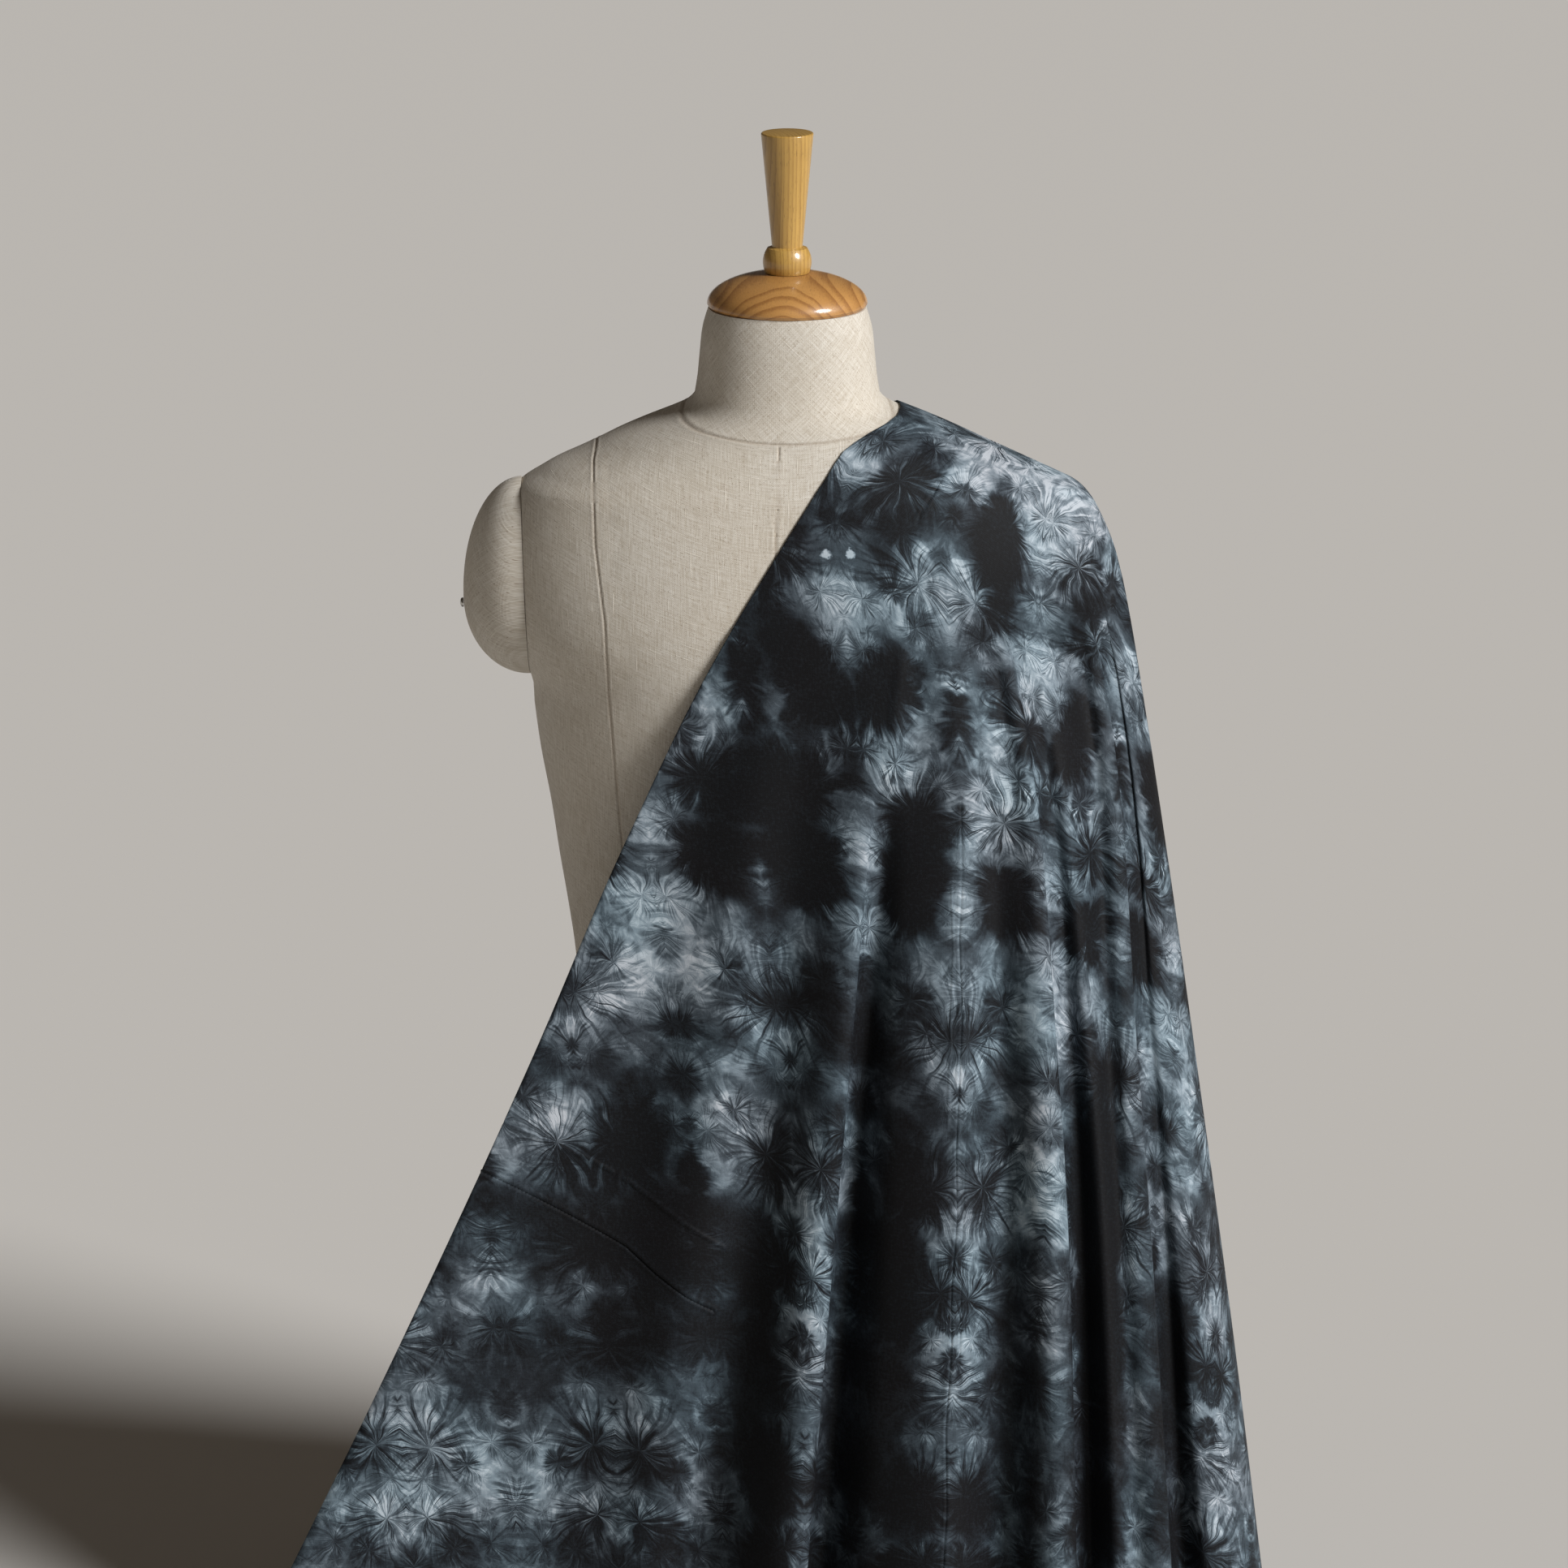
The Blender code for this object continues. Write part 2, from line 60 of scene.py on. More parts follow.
# Body of the form, in millimetres, from the top of the neck down: height, half width, front, back
BODY_SECTIONS = (
    (1010, 58.3, 57, 57),
    (997, 62.3, 60, 60),
    (974, 65.1, 62.5, 62),
    (954, 67.3, 65, 64.5),
    (942, 70.5, 68, 67.5),
    (935.5, 78, 70.5, 69.5),
    (930.5, 89.5, 73, 71),
    (923.5, 108, 76, 74),
    (915.5, 127, 79, 77),
    (907, 144, 83, 81),
    (900, 159, 86, 84),
    (893.5, 173.5, 89, 87),
    (886.5, 185.5, 92, 90.5),
    (879, 197.5, 95, 94),
    (864, 204.7, 99.5, 98.5),
    (840, 212, 106, 104),
    (806, 215, 113, 110),
    (770, 209.5, 117.5, 112),
    (745, 198.5, 117.5, 111.5),
    (732, 191.5, 117, 110),
    (710, 189.2, 115, 108),
    (675, 184.6, 111.5, 104),
    (636, 177.5, 107, 98),
    (592, 171, 102.5, 93),
    (552, 164.5, 99, 89),
    (515, 159.5, 97.2, 87),
    (475, 157.5, 97, 88),
    (430, 160.5, 99.5, 93),
    (380, 167.5, 103, 102),
    (320, 174, 106.5, 111),
    (250, 176.5, 108, 115),
    (205, 175, 107, 114),
    (185, 172, 105, 112),
)
BODY_POWER = 2.2
BODY_AROUND = 128
JOINT_HEIGHT, JOINT_X = 790.0, 193.9
JOINT_LEAN = math.atan2(6.0, 149.0)
JOINT_GAP = 0.3
GAP = JOINT_GAP * MM
STUB_REACH, STUB_DEPTH, STUB_UP, STUB_DOWN = 47.5, 55.0, 91.0, 58.0
STUB_SEGMENTS, STUB_RINGS = 96, 64
BIAS_SCALE = 0.7                # the stubs' weave lies on the bias, slightly finer
CUT_THRESHOLD = 1e-6
PADDED_ANGLE, TURNED_ANGLE = math.radians(50), math.radians(35)      # edges sharper than these stay crisp

# Turned wood and stand, in metres
PIN_RADIUS, PIN_LENGTH, PIN_LEVEL = 0.0035, 0.0025, -0.003
CAP_BOTTOM, CAP_RIM, CAP_RADIUS, CAP_RISE = 1.0103, 1.0125, 0.0594, 0.02375
CAP_SEAT_RADIUS, CAP_UNDERCUT = 0.0175, 0.0015
BALL_HEIGHT, BALL_RADIUS = 1.0435, 0.0181
HANDLE_FOOT, HANDLE_FOOT_RADIUS = 1.0540, 0.0114
HANDLE_TOP, HANDLE_TOP_RADIUS, HANDLE_EDGE = 1.1400, 0.0194, 0.0012
BOARD_THICK, BOARD_INSET, BOARD_ROUND = 0.015, 0.004, 0.003
BASE_THICK, BASE_ROUND = 0.024, 0.006
SMALL_RADIUS, SMALL_FACETS = 0.004, 48       # pieces below this radius have fewer facets

# Studio, in metres
FLOOR_REACH = 40.0
FILL_COLOUR = (1.0, 0.86, 0.72, 1.0)
CAMERA_PLACE = (-0.0024, -5.809, 2.147)
CAMERA_TILT = math.radians(14.5)
CAMERA_LENS = 183.3

FINEST = 1.1                    # faces are not split below this size, in millimetres

# Seams of the form's linen cover, in millimetres: x, then height
PRINCESS_SEAM = ((141, 912), (143.3, 902), (141.3, 847), (134.4, 792), (131.7, 736),
                 (127.6, 679), (122.4, 616), (117, 552), (114, 490), (116, 420),
                 (121, 340), (124, 250), (123, 180))
CENTRE_SEAM = ((-6, 924), (-6.8, 883), (-8.6, 855), (-8, 700), (-8, 180))
NECK_SEAM_SIDE, NECK_SEAM_DIP = 936.5, 15.0
SEAM_WIDTH, SEAM_SHADE = 1.1, 0.9
CREASE_INSET, CREASE_RISE, CREASE_WIDTH = 11.0, -0.3, 3.0    # faint crease beside each princess seam

# Drape of the cloth, in millimetres: share of the fall, then x
SHOULDER_START, SHOULDER_END = 84.0, 227.0
FRONT_EDGE = (
    (0, 84), (0.006, 63), (0.015, 46), (0.035, 30.5), (0.07, 8), (0.11, -16),
    (0.16, -44.5), (0.32, -118), (0.50, -189.5), (0.75, -296.5), (1, -410),
)
RIGHT_SIDE = (
    (0, 227), (0.006, 230), (0.015, 234), (0.035, 241.5), (0.07, 249.5), (0.11, 256.5),
    (0.16, 264), (0.32, 286), (0.50, 309), (0.75, 339.5), (1, 367),
)
BACK_EDGE = (
    (0, 84), (0.006, 80), (0.015, 76), (0.035, 70), (0.07, 60), (0.11, 48),
    (0.16, 36), (0.32, 6), (0.50, -26), (0.75, -64), (1, -100),
)
X_SHARES = (0.07, 0.16, 0.50, 1.0)
OUT_SHARES = (0.16, 0.50, 1.0)
LINE_COLUMNS = ("name", "x_shoulder", "x_breast", "x_waist", "x_hem",
                "out_breast", "out_waist", "out_hem", "fold_depth", "fold_start", "steps")
FRONT_LINES = (
    ("near_trough", 20, -24, -104, -176, 118, 120, 132, 0, 0, 22),
    ("soft_ridge", 38, 4, -50, -112, 118, 131, 145, 0, 0, 12),
    ("far_trough", 56, 30, -8, -66, 116, 123, 130, 0, 0, 9),
    ("first_fold", 84, 73, 45, 8, 114, 144, 182, 54, 0.26, 10),
    ("first_rise", 101, 95, 82, 58, 108, 138, 162, 0, 0, 8),
    ("middle_ridge", 112, 122, 127, 116, 103, 143, 178, 0, 0, 9),
    ("middle_trough", 125, 139, 162, 164, 95, 122, 140, 0, 0, 8),
    ("third_fold", 146, 167, 201, 219, 84, 137, 174, 60, 0.10, 8),
    ("third_rise", 172, 190, 226, 252, 66, 108, 136, 0, 0, 7),
    ("fourth_fold", 214, 233, 262, 294, 34, 96, 134, 62, 0.06, 8),
    ("fourth_rise", 231, 247, 281, 324, 19, 58, 88, 0, 0, 7),
    ("fifth_ridge", 241, 256, 294, 347, 10, 48, 74, 0, 0, 6),
)
SIDE_STEPS = 8                  # columns between the last front line and the side
BACK_LINES = (
    ("side_trough", 224, 238, 272, 300, 36, 76, 92, 0, 0, 30),
    ("side_ridge", 196, 206, 236, 262, 66, 118, 152, 0, 0, 30),
    ("back_trough", 160, 166, 180, 190, 88, 106, 118, 0, 0, 30),
    ("back_ridge", 128, 125, 128, 126, 104, 130, 162, 0, 0, 30),
    ("inner_trough", 94, 80, 52, 30, 110, 114, 124, 0, 0, 30),
)
EDGE_OUT = (118.0, 128.0, 158.0)
BACK_EDGE_OUT = (110.0, 118.0, 142.0)
HEAD_WIDTH, HEAD_DROP, HEAD_CROWN = 26.0, 8.0, 0.45
LEAN_BACK, VALLEY_STEP, UNDER_SHARE = 4.0, 12.0, 0.55
FOLD_GROWTH, SPREAD_AT_START = 0.6, 0.4
ROLL_STEPS = (5, 6, 5, 5)       # columns over a rolled fold: crown, edge, hollow, valley
FALL_ROWS = 84
FALL_START = 0.10               # rows lie closer together above this share
TAUT_FROM, TAUT_TO = 0.07, 0.16  # the cloth spans the form's hollows above the first share

# Where dye and painted light leave the front paler or darker, in millimetres: x, height, half width, half
# height, amount
# Narrow pale strips on the fold crowns are painted highlights; dark strips beside the fold edges and in the
# troughs are painted shadow; the patches near the hem are weaker or darker as painted shade.
DYE_AND_LIGHT_PATCHES = (
    (196, 876, 36, 37, 1.0), (150, 900, 33, 22, 0.8), (48, 910, 24, 19, 0.6), (188, 798, 18, 68, 0.5),
    (226, 852, 21, 31, 0.5), (116, 810, 36, 31, 0.6), (-50, 730, 21, 20, 0.5), (124, 748, 30, 19, 0.35),
    (166, 718, 24, 37, 0.6), (78, 694, 17, 31, 0.5), (146, 648, 24, 31, 0.6), (254, 718, 17, 43, 0.7),
    (-108, 590, 42, 42, 0.7), (-114, 520, 36, 31, 0.8), (-64, 544, 27, 37, 0.5), (60, 588, 18, 53, 0.6),
    (126, 564, 18, 46, 0.6), (-162, 424, 27, 28, 0.8), (-36, 432, 42, 43, 0.45), (204, 510, 36, 55, 0.5),
    (284, 464, 21, 56, 0.5), (-222, 286, 27, 37, 0.45), (-254, 158, 72, 50, 0.5), (-306, 104, 48, 37, 0.25),
    (-172, 126, 36, 37, 0.2), (-94, 204, 30, 37, 0.35), (18, 306, 13, 105, 0.5), (128, 406, 19, 74, 0.4),
    (128, 248, 22, 87, 0.5), (184, 344, 27, 68, 0.45), (300, 382, 18, 68, 0.45), (322, 254, 12, 62, 0.4),
    (336, 106, 24, 56, 0.5), (168, 138, 27, 50, 0.15), (192, 420, 9, 90, 0.55), (200, 250, 9, 90, 0.6),
    (206, 90, 9, 80, 0.5), (254, 330, 9, 90, 0.6), (262, 170, 9, 90, 0.6), (270, 50, 9, 60, 0.5),
    (106, 944, 30, 12, -0.6), (-6, 788, 26, 31, -0.6), (37, 818, 24, 30, 0.5), (-12, 674, 50, 56, -0.7),
    (156, 846, 16, 50, -0.8), (96, 628, 27, 37, -0.8), (-100, 412, 36, 56, -0.6), (-164, 344, 48, 37, -0.4),
    (-82, 306, 48, 74, -0.5), (40, 508, 30, 37, -0.6), (78, 344, 26, 136, -0.6), (230, 388, 18, 74, -0.7),
    (238, 254, 16, 124, -0.7), (290, 190, 14, 90, -0.5), (180, 150, 110, 190, -0.35),
    (-22, 204, 22, 124, -0.7), (54, 164, 28, 87, -0.5), (-212, 222, 36, 31, -0.6),
    (-128, 248, 42, 37, -0.6),
)

# Dye pools: size in metres, base amount, pull of the patches, seed, depths of the pool, rays and leaves
DYE_POOLS = (
    (0.084, 0.29, 0.62, 3.1, 0.92, 0.80, 0.28),
    (0.043, 0.23, 0.46, 8.7, 0.68, 0.60, 0.22),
    (0.018, 0.17, 0.30, 17.3, 0.36, 0.15, 0.10),
)

# Twin spots, thread sizes and the depths of fine relief, in metres
SPOT_X, SPOT_HALF_APART, SPOT_HEIGHT, SPOT_RADIUS = 0.0370, 0.0085, 0.846, 0.0048
COTTON_PITCH, LINEN_PITCH = 0.00055, 0.0007
COTTON_STREAK, LINEN_STREAK = 1600.0, 1150.0         # streaks for each metre
COTTON_RELIEF, LINEN_RELIEF, WOOD_RELIEF = 0.00018, 0.00022, 0.00008
STEEL_RELIEF, IRON_RELIEF = 0.00003, 0.0001

# Creases pressed into the cloth, in millimetres: x, then height
CREASE_HALF = 1.15
CREASES = (
    ("upper", 1.2, ((-213, 420), (-175, 401), (-146, 387), (-117, 370), (-83, 346), (-47, 321))),
    ("lower", -2.0, ((-228, 382), (-202, 368), (-176, 353), (-144, 334), (-120, 320), (-98, 301),
                     (-76, 285), (-55, 272))),
    ("short", 0.7, ((-269, 271), (-237, 273), (-218, 276), (-188, 280))),
    ("shoulder", -0.7, ((121, 908), (110, 889), (97, 872))),
    ("middle", -0.8, ((128, 660), (129, 610), (127, 560), (129, 500), (127, 450), (125, 400),
                      (126, 350), (122, 300), (122, 250), (118, 190), (119, 130), (116, 70))),
    ("middle_left", 0.5, ((121, 600), (123, 550), (121, 500), (119, 420))),
    ("middle_right", -0.6, ((133, 430), (130, 330), (128, 240))),
)


def settings():
    """Property groups of the open scene."""
    return bpy.context.scene.shibori_form


# Shapes by code: curves, nets and pressed lines

def smooth_curve(keys, values, at):
    """Smooth curve through values at uneven keys, each column of values on its own."""
    keys, values, at = np.asarray(keys, float), np.asarray(values, float), np.asarray(at, float)
    step = np.diff(keys)
    rise = np.diff(values, axis=0) / step.reshape(-1, *[1] * (values.ndim - 1))
    slope = np.empty_like(values)
    slope[0], slope[-1] = rise[0], rise[-1]
    for i in range(1, len(keys) - 1):
        slope[i] = (rise[i - 1] * step[i] + rise[i] * step[i - 1]) / (step[i] + step[i - 1])
    i = np.clip(np.searchsorted(keys, at, side="right") - 1, 0, len(step) - 1)
    s = (at - keys[i]) / step[i]
    width = step[i]
    if values.ndim > 1:
        s, width = s[:, None], width[:, None]
    return (values[i] * (2 * s ** 3 - 3 * s ** 2 + 1) + slope[i] * width * (s ** 3 - 2 * s ** 2 + s)
            + values[i + 1] * (3 * s ** 2 - 2 * s ** 3) + slope[i + 1] * width * (s ** 3 - s ** 2))


def body_at(z):
    """Half width, front depth and back depth of the form at heights z, in millimetres."""
    table = np.array(BODY_SECTIONS[::-1])
    z = np.clip(z, table[0, 0], table[-1, 0])
    return smooth_curve(table[:, 0], table[:, 1:], z.ravel()).T.reshape(3, *z.shape)


def form_depth(x, z, back, clear, stub_clear):
    """How far the form and a clearance stand out from its mid plane at x and height z, in millimetres."""
    half_width, front, rear = body_at(z - clear)
    depth = np.where(back, rear, front) + clear
    torso = depth * np.clip(1 - (np.abs(x) / (half_width + clear)) ** BODY_POWER, 0, None) ** (1 / BODY_POWER)
    along = (x - JOINT_X - math.tan(JOINT_LEAN) * (z - JOINT_HEIGHT)) / (STUB_REACH + stub_clear)
    up = z - JOINT_HEIGHT
    up = up / (np.where(up > 0, STUB_UP, STUB_DOWN) + stub_clear)
    stub = (STUB_DEPTH + stub_clear) * np.sqrt(np.clip(1 - along ** 2 - up ** 2, 0, None))
    return np.maximum(torso, np.where(along > 0, stub, 0))


def taut(places, heights):
    """Heights of a cord drawn tight over other heights."""
    hull = [0]
    for i in range(1, len(places)):
        while len(hull) > 1:
            a, b = hull[-2], hull[-1]
            rise_now = (heights[b] - heights[a]) * (places[i] - places[a])
            if rise_now > (heights[i] - heights[a]) * (places[b] - places[a]):
                break
            hull.pop()
        hull.append(i)
    return np.interp(places, np.asarray(places)[hull], np.asarray(heights)[hull])


def net_mesh(name, points, faces, uvs):
    """Mesh of a net in millimetres, with one texture point for each face corner, in metres."""
    mesh = bpy.data.meshes.new(name)
    mesh.from_pydata((points * MM).tolist(), [], faces)
    layer = mesh.uv_layers.new(name="UVMap")
    layer.data.foreach_set("uv", (np.asarray(uvs) * MM).astype(np.float32).ravel())
    return mesh


def read_points(mesh):
    """Vertex places of a mesh, in millimetres."""
    points = np.empty(len(mesh.vertices) * 3)
    mesh.vertices.foreach_get("co", points)
    return points.reshape(-1, 3) / MM


def write_points(mesh, points):
    """Set the vertex places of a mesh, in millimetres."""
    mesh.vertices.foreach_set("co", (points * MM).ravel())
    mesh.update()


def distance_to_line(points, line):
    """Distance of flat points from a line of straight runs."""
    best = np.full(len(points), np.inf)
    line = np.asarray(line, float)
    for start, end in zip(line, line[1:]):
        run = end - start
        along = np.clip((points - start) @ run / (run @ run), 0, 1)
        best = np.minimum(best, np.linalg.norm(points - start - along[:, None] * run, axis=1))
    return best


def show_only(obj):
    """Make one object the only selected and active one."""
    bpy.ops.object.select_all(action="DESELECT")
    obj.select_set(True)
    bpy.context.view_layer.objects.active = obj


def add_object(name, mesh):
    """New object of a mesh, selected on its own."""
    obj = bpy.data.objects.new(name, mesh)
    bpy.context.scene.collection.objects.link(obj)
    show_only(obj)
    return obj


def edit_all(obj, operator, **options):
    """Run one mesh operator on the whole of an object."""
    show_only(obj)
    bpy.ops.object.mode_set(mode="EDIT")
    bpy.ops.mesh.select_all(action="SELECT")
    operator(**options)
    bpy.ops.object.mode_set(mode="OBJECT")


def run_length(net, axis):
    """Length run along one way of a net of points, from its start."""
    steps = np.linalg.norm(np.diff(net, axis=axis), axis=2)
    return np.insert(np.cumsum(steps, axis=axis), 0, 0, axis=axis)


def refine_near(obj, distance, reaches):
    """Split the faces near a line, once for each reach, until they are fine enough to press it in cleanly."""
    show_only(obj)
    for reach in reaches:
        mesh = obj.data
        points = read_points(mesh)
        near = distance(points) < reach
        chosen = []
        for face in mesh.polygons:
            corners = list(face.vertices)
            wanted = near[corners].any() and len(corners) < 5
            if wanted:
                edges = points[corners] - points[corners[1:] + corners[:1]]
                wanted = (edges ** 2).sum(axis=1).min() > FINEST ** 2
            chosen.append(wanted)
        if not any(chosen):
            return
        mesh.vertices.foreach_set("select", np.zeros(len(mesh.vertices), bool))
        mesh.edges.foreach_set("select", np.zeros(len(mesh.edges), bool))
        mesh.polygons.foreach_set("select", chosen)
        bpy.ops.object.mode_set(mode="EDIT")
        bpy.ops.mesh.select_mode(type="FACE")
        bpy.ops.mesh.subdivide(number_cuts=1, ngon=False)
        bpy.ops.object.mode_set(mode="OBJECT")


def press(obj, distance, height, width):
    """Raise a mesh along a line, or press it in below zero, where the groove gets slightly raised sides."""
    mesh = obj.data
    points = read_points(mesh)
    gap = distance(points) / width
    normals = np.array([v.normal for v in mesh.vertices])
    if height < 0:
        lift = height * np.exp(-(gap * 1.6) ** 2) - 0.35 * height * np.exp(-((gap - 1.5) * 1.2) ** 2)
    else:
        lift = height * np.exp(-(gap * 1.3) ** 2)
    write_points(mesh, points + normals * lift[:, None])


def apply_modifiers(obj):
    """Keep what the modifiers make of an object."""
    show_only(obj)
    for modifier in list(obj.modifiers):
        bpy.ops.object.modifier_apply(modifier=modifier.name)


def set_material(obj, *materials):
    """Give an object its materials."""
    obj.data.materials.clear()
    for material in materials:
        obj.data.materials.append(material)


def place_piece(obj, slot, *nodes):
    """Fix a finished piece to the body, for the CAD nodes that it stands for."""
    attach(obj, "root")
    if nodes:
        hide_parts(*nodes)


# Cloth

def out_at(values, share):
    """A line's distance from the mid plane at a share of the fall."""
    if share < OUT_SHARES[0]:
        return values[0] * math.sqrt(share / OUT_SHARES[0])
    return smooth_curve(OUT_SHARES, values, [share])[0]


def line_points(row, share):
    """Key points of one line at a share of the fall: x and how far it stands out."""
    line = dict(zip(LINE_COLUMNS, row))
    xs = (line["x_shoulder"], line["x_breast"], line["x_waist"], line["x_hem"])
    x = smooth_curve(X_SHARES, xs, [max(share, X_SHARES[0])])[0]
    out = out_at((line["out_breast"], line["out_waist"], line["out_hem"]), share)
    if not line["fold_depth"]:
        return [(x, out)]
    start = line["fold_start"]
    grown = (max(share - start, 0) / (1 - start)) ** FOLD_GROWTH
    depth = line["fold_depth"] * grown
    spread = SPREAD_AT_START + (1 - SPREAD_AT_START) * grown
    return [(x - HEAD_WIDTH * spread, out - HEAD_DROP * grown / 2),
            (x - HEAD_WIDTH * HEAD_CROWN * spread, out),
            (x, out - HEAD_DROP * grown),
            (x + VALLEY_STEP * (1 - grown) / 3 - LEAN_BACK * grown, out - depth * UNDER_SHARE),
            (x + VALLEY_STEP, out - depth)]


def column_steps():
    """Columns between neighbouring key points, from the front edge to the side, then to the back edge."""
    front = []
    for row in FRONT_LINES:
        rolled = row[LINE_COLUMNS.index("fold_depth")]
        front += [row[-1], *ROLL_STEPS] if rolled else [row[-1]]
    front.append(SIDE_STEPS)
    back = [row[-1] for row in BACK_LINES]
    back.append(sum(front) - sum(back))
    return front, back


def fall_shares():
    """Shares of the fall for the rows, closer together where the cloth turns over the shoulder."""
    t = np.linspace(0, 1, FALL_ROWS + 1)
    shares = np.where(t < FALL_START, t ** 2 / (2 * FALL_START), t - FALL_START / 2)
    return shares / shares[-1]


def drape_rows(clear, stub_clear):
    """Rows of points from the front edge round the side to the back edge, shoulder to hem."""
    front_steps, back_steps = column_steps()
    half = sum(front_steps)
    xs = np.linspace(SHOULDER_START, SHOULDER_END, half + 1)
    levels = np.arange(JOINT_HEIGHT, BODY_SECTIONS[0][0], 0.25)
    tops = np.array([levels[form_depth(x, levels, False, clear, stub_clear) > 0].max() for x in xs])
    tops = taut(xs, tops)
    xs, tops = (np.concatenate((line, line[-2::-1])) for line in (xs, tops))
    even = (xs - SHOULDER_START) / (SHOULDER_END - SHOULDER_START)
    rows = [np.column_stack((xs, np.zeros_like(xs), tops))]
    for share in fall_shares()[1:]:
        front_x, side_x, back_x = (smooth_curve(*zip(*edge), [share])[0]
                                   for edge in (FRONT_EDGE, RIGHT_SIDE, BACK_EDGE))
        front = [(front_x, out_at(EDGE_OUT, share))]
        front += [point for row in FRONT_LINES for point in line_points(row, share)]
        back = [point for row in BACK_LINES for point in line_points(row, share)]
        back += [(back_x, out_at(BACK_EDGE_OUT, share))]
        points = np.array([(x, -out) for x, out in front] + [(side_x, 0.0)] + back)
        chords = np.sqrt(np.linalg.norm(np.diff(points, axis=0), axis=1))
        keys = np.concatenate(([0], np.cumsum(chords)))
        at = [np.linspace(keys[i], keys[i + 1], n, endpoint=False)
              for i, n in enumerate(front_steps + back_steps)]
        row = smooth_curve(keys, points, np.concatenate(at + [[keys[-1]]]))
        edge_x = np.where(np.arange(len(xs)) < half, front_x, back_x)
        blend = min(share / X_SHARES[0], 1.0)
        x = (edge_x + (side_x - edge_x) * even) * (1 - blend) + row[:, 0] * blend
        z = tops * (1 - share)
        y = row[:, 1]
        limit = form_depth(x, z, y > 0, clear, stub_clear)
        tight = np.clip((TAUT_TO - share) / (TAUT_TO - TAUT_FROM), 0, 1)
        if tight > 0:
            for half_row in (slice(0, half + 1), slice(half, None)):
                order = slice(None, None, 1 if half_row.start == 0 else -1)
                drawn = taut(x[half_row][order], limit[half_row][order])[order]
                limit[half_row] += (drawn - limit[half_row]) * tight
        rows.append(np.column_stack((x, np.where(y < 0, np.minimum(y, -limit), np.maximum(y, limit)), z)))
    return np.array(rows)


def build_cloth():
    """Net of the draped cloth, its two halves joined along the shoulder."""
    cloth = settings().cloth
    rows = drape_rows(cloth.clearance / MM, cloth.stub_clearance / MM)
    count, width = rows.shape[:2]
    half = width // 2
    ridge = sum(row[-1] for row in FRONT_LINES[:6]) + sum(ROLL_STEPS)
    across = run_length(rows, 1)
    across -= across[:, ridge:ridge + 1]
    side = across[:, half:half + 1]
    across = np.where(np.arange(width) > half, 2 * side - across, across)
    down = run_length(rows[:, :, 1:], 0)
    index = np.arange(count * width).reshape(count, width)
    index[0, half + 1:] = index[0, :half][::-1]
    faces, uvs = [], []
    for i in range(count - 1):
        for j in range(width - 1):
            corners = ((i, j), (i + 1, j), (i + 1, j + 1), (i, j + 1))
            faces.append([int(index[c]) for c in corners])
            uvs += [(across[c], -down[c]) for c in corners]
    mesh = net_mesh("shibori_cotton", rows.reshape(-1, 3), faces, uvs)
    obj = add_object("shibori_cotton", mesh)
    edit_all(obj, bpy.ops.mesh.delete_loose)
    for name, height, line in CREASES:
        def crease_distance(points, line=line):
            gap = distance_to_line(points[:, (0, 2)], line)
            return np.where(points[:, 1] < -20, gap, 1e3)
        refine_near(obj, crease_distance, (6.0, 3.5, 2.2))
        press(obj, crease_distance, height, CREASE_HALF)
    note_dye(obj)
    solid = obj.modifiers.new("Thickness", "SOLIDIFY")
    solid.thickness = cloth.thickness
    solid.offset = 1.0
    solid.use_even_offset = True
    apply_modifiers(obj)
    points = read_points(obj.data)
    points[:, 2] = np.where(points[:, 2] < cloth.thickness / MM, 0, points[:, 2])
    write_points(obj.data, points)
    bpy.ops.object.shade_smooth()
    return obj


def note_dye(obj):
    """Keep on each point how much paler or darker the dye patches and the painted light leave the cloth
    there.
    """
    points = read_points(obj.data)
    pale = np.zeros(len(points))
    for x, z, half_width, half_height, amount in DYE_AND_LIGHT_PATCHES:
        away = ((points[:, 0] - x) / half_width) ** 2 + ((points[:, 2] - z) / half_height) ** 2
        pale += amount * np.exp(-away)
    pale *= np.clip(0.5 - points[:, 1] / 60, 0, 1)
    obj.data.attributes.new("pale", "FLOAT", "POINT").data.foreach_set("value", pale)


# Form

def neck_seam_height(points):
    """Height of the neck's seam at each point's direction from the axis, in millimetres."""
    turn = np.arctan2(points[:, 1], points[:, 0])
    return NECK_SEAM_SIDE - NECK_SEAM_DIP * np.clip(-np.sin(turn), 0, None) ** 1.4


def on_body(points):
    """Points brought back to the body's surface at their own height."""
    half_width, front, back = body_at(points[:, 2])
    depth = np.where(points[:, 1] < 0, front, back)
    size = ((np.abs(points[:, 0]) / half_width) ** BODY_POWER
            + (np.abs(points[:, 1]) / depth) ** BODY_POWER) ** (1 / BODY_POWER)
    return points * np.column_stack((1 / size, 1 / size, np.ones_like(size)))


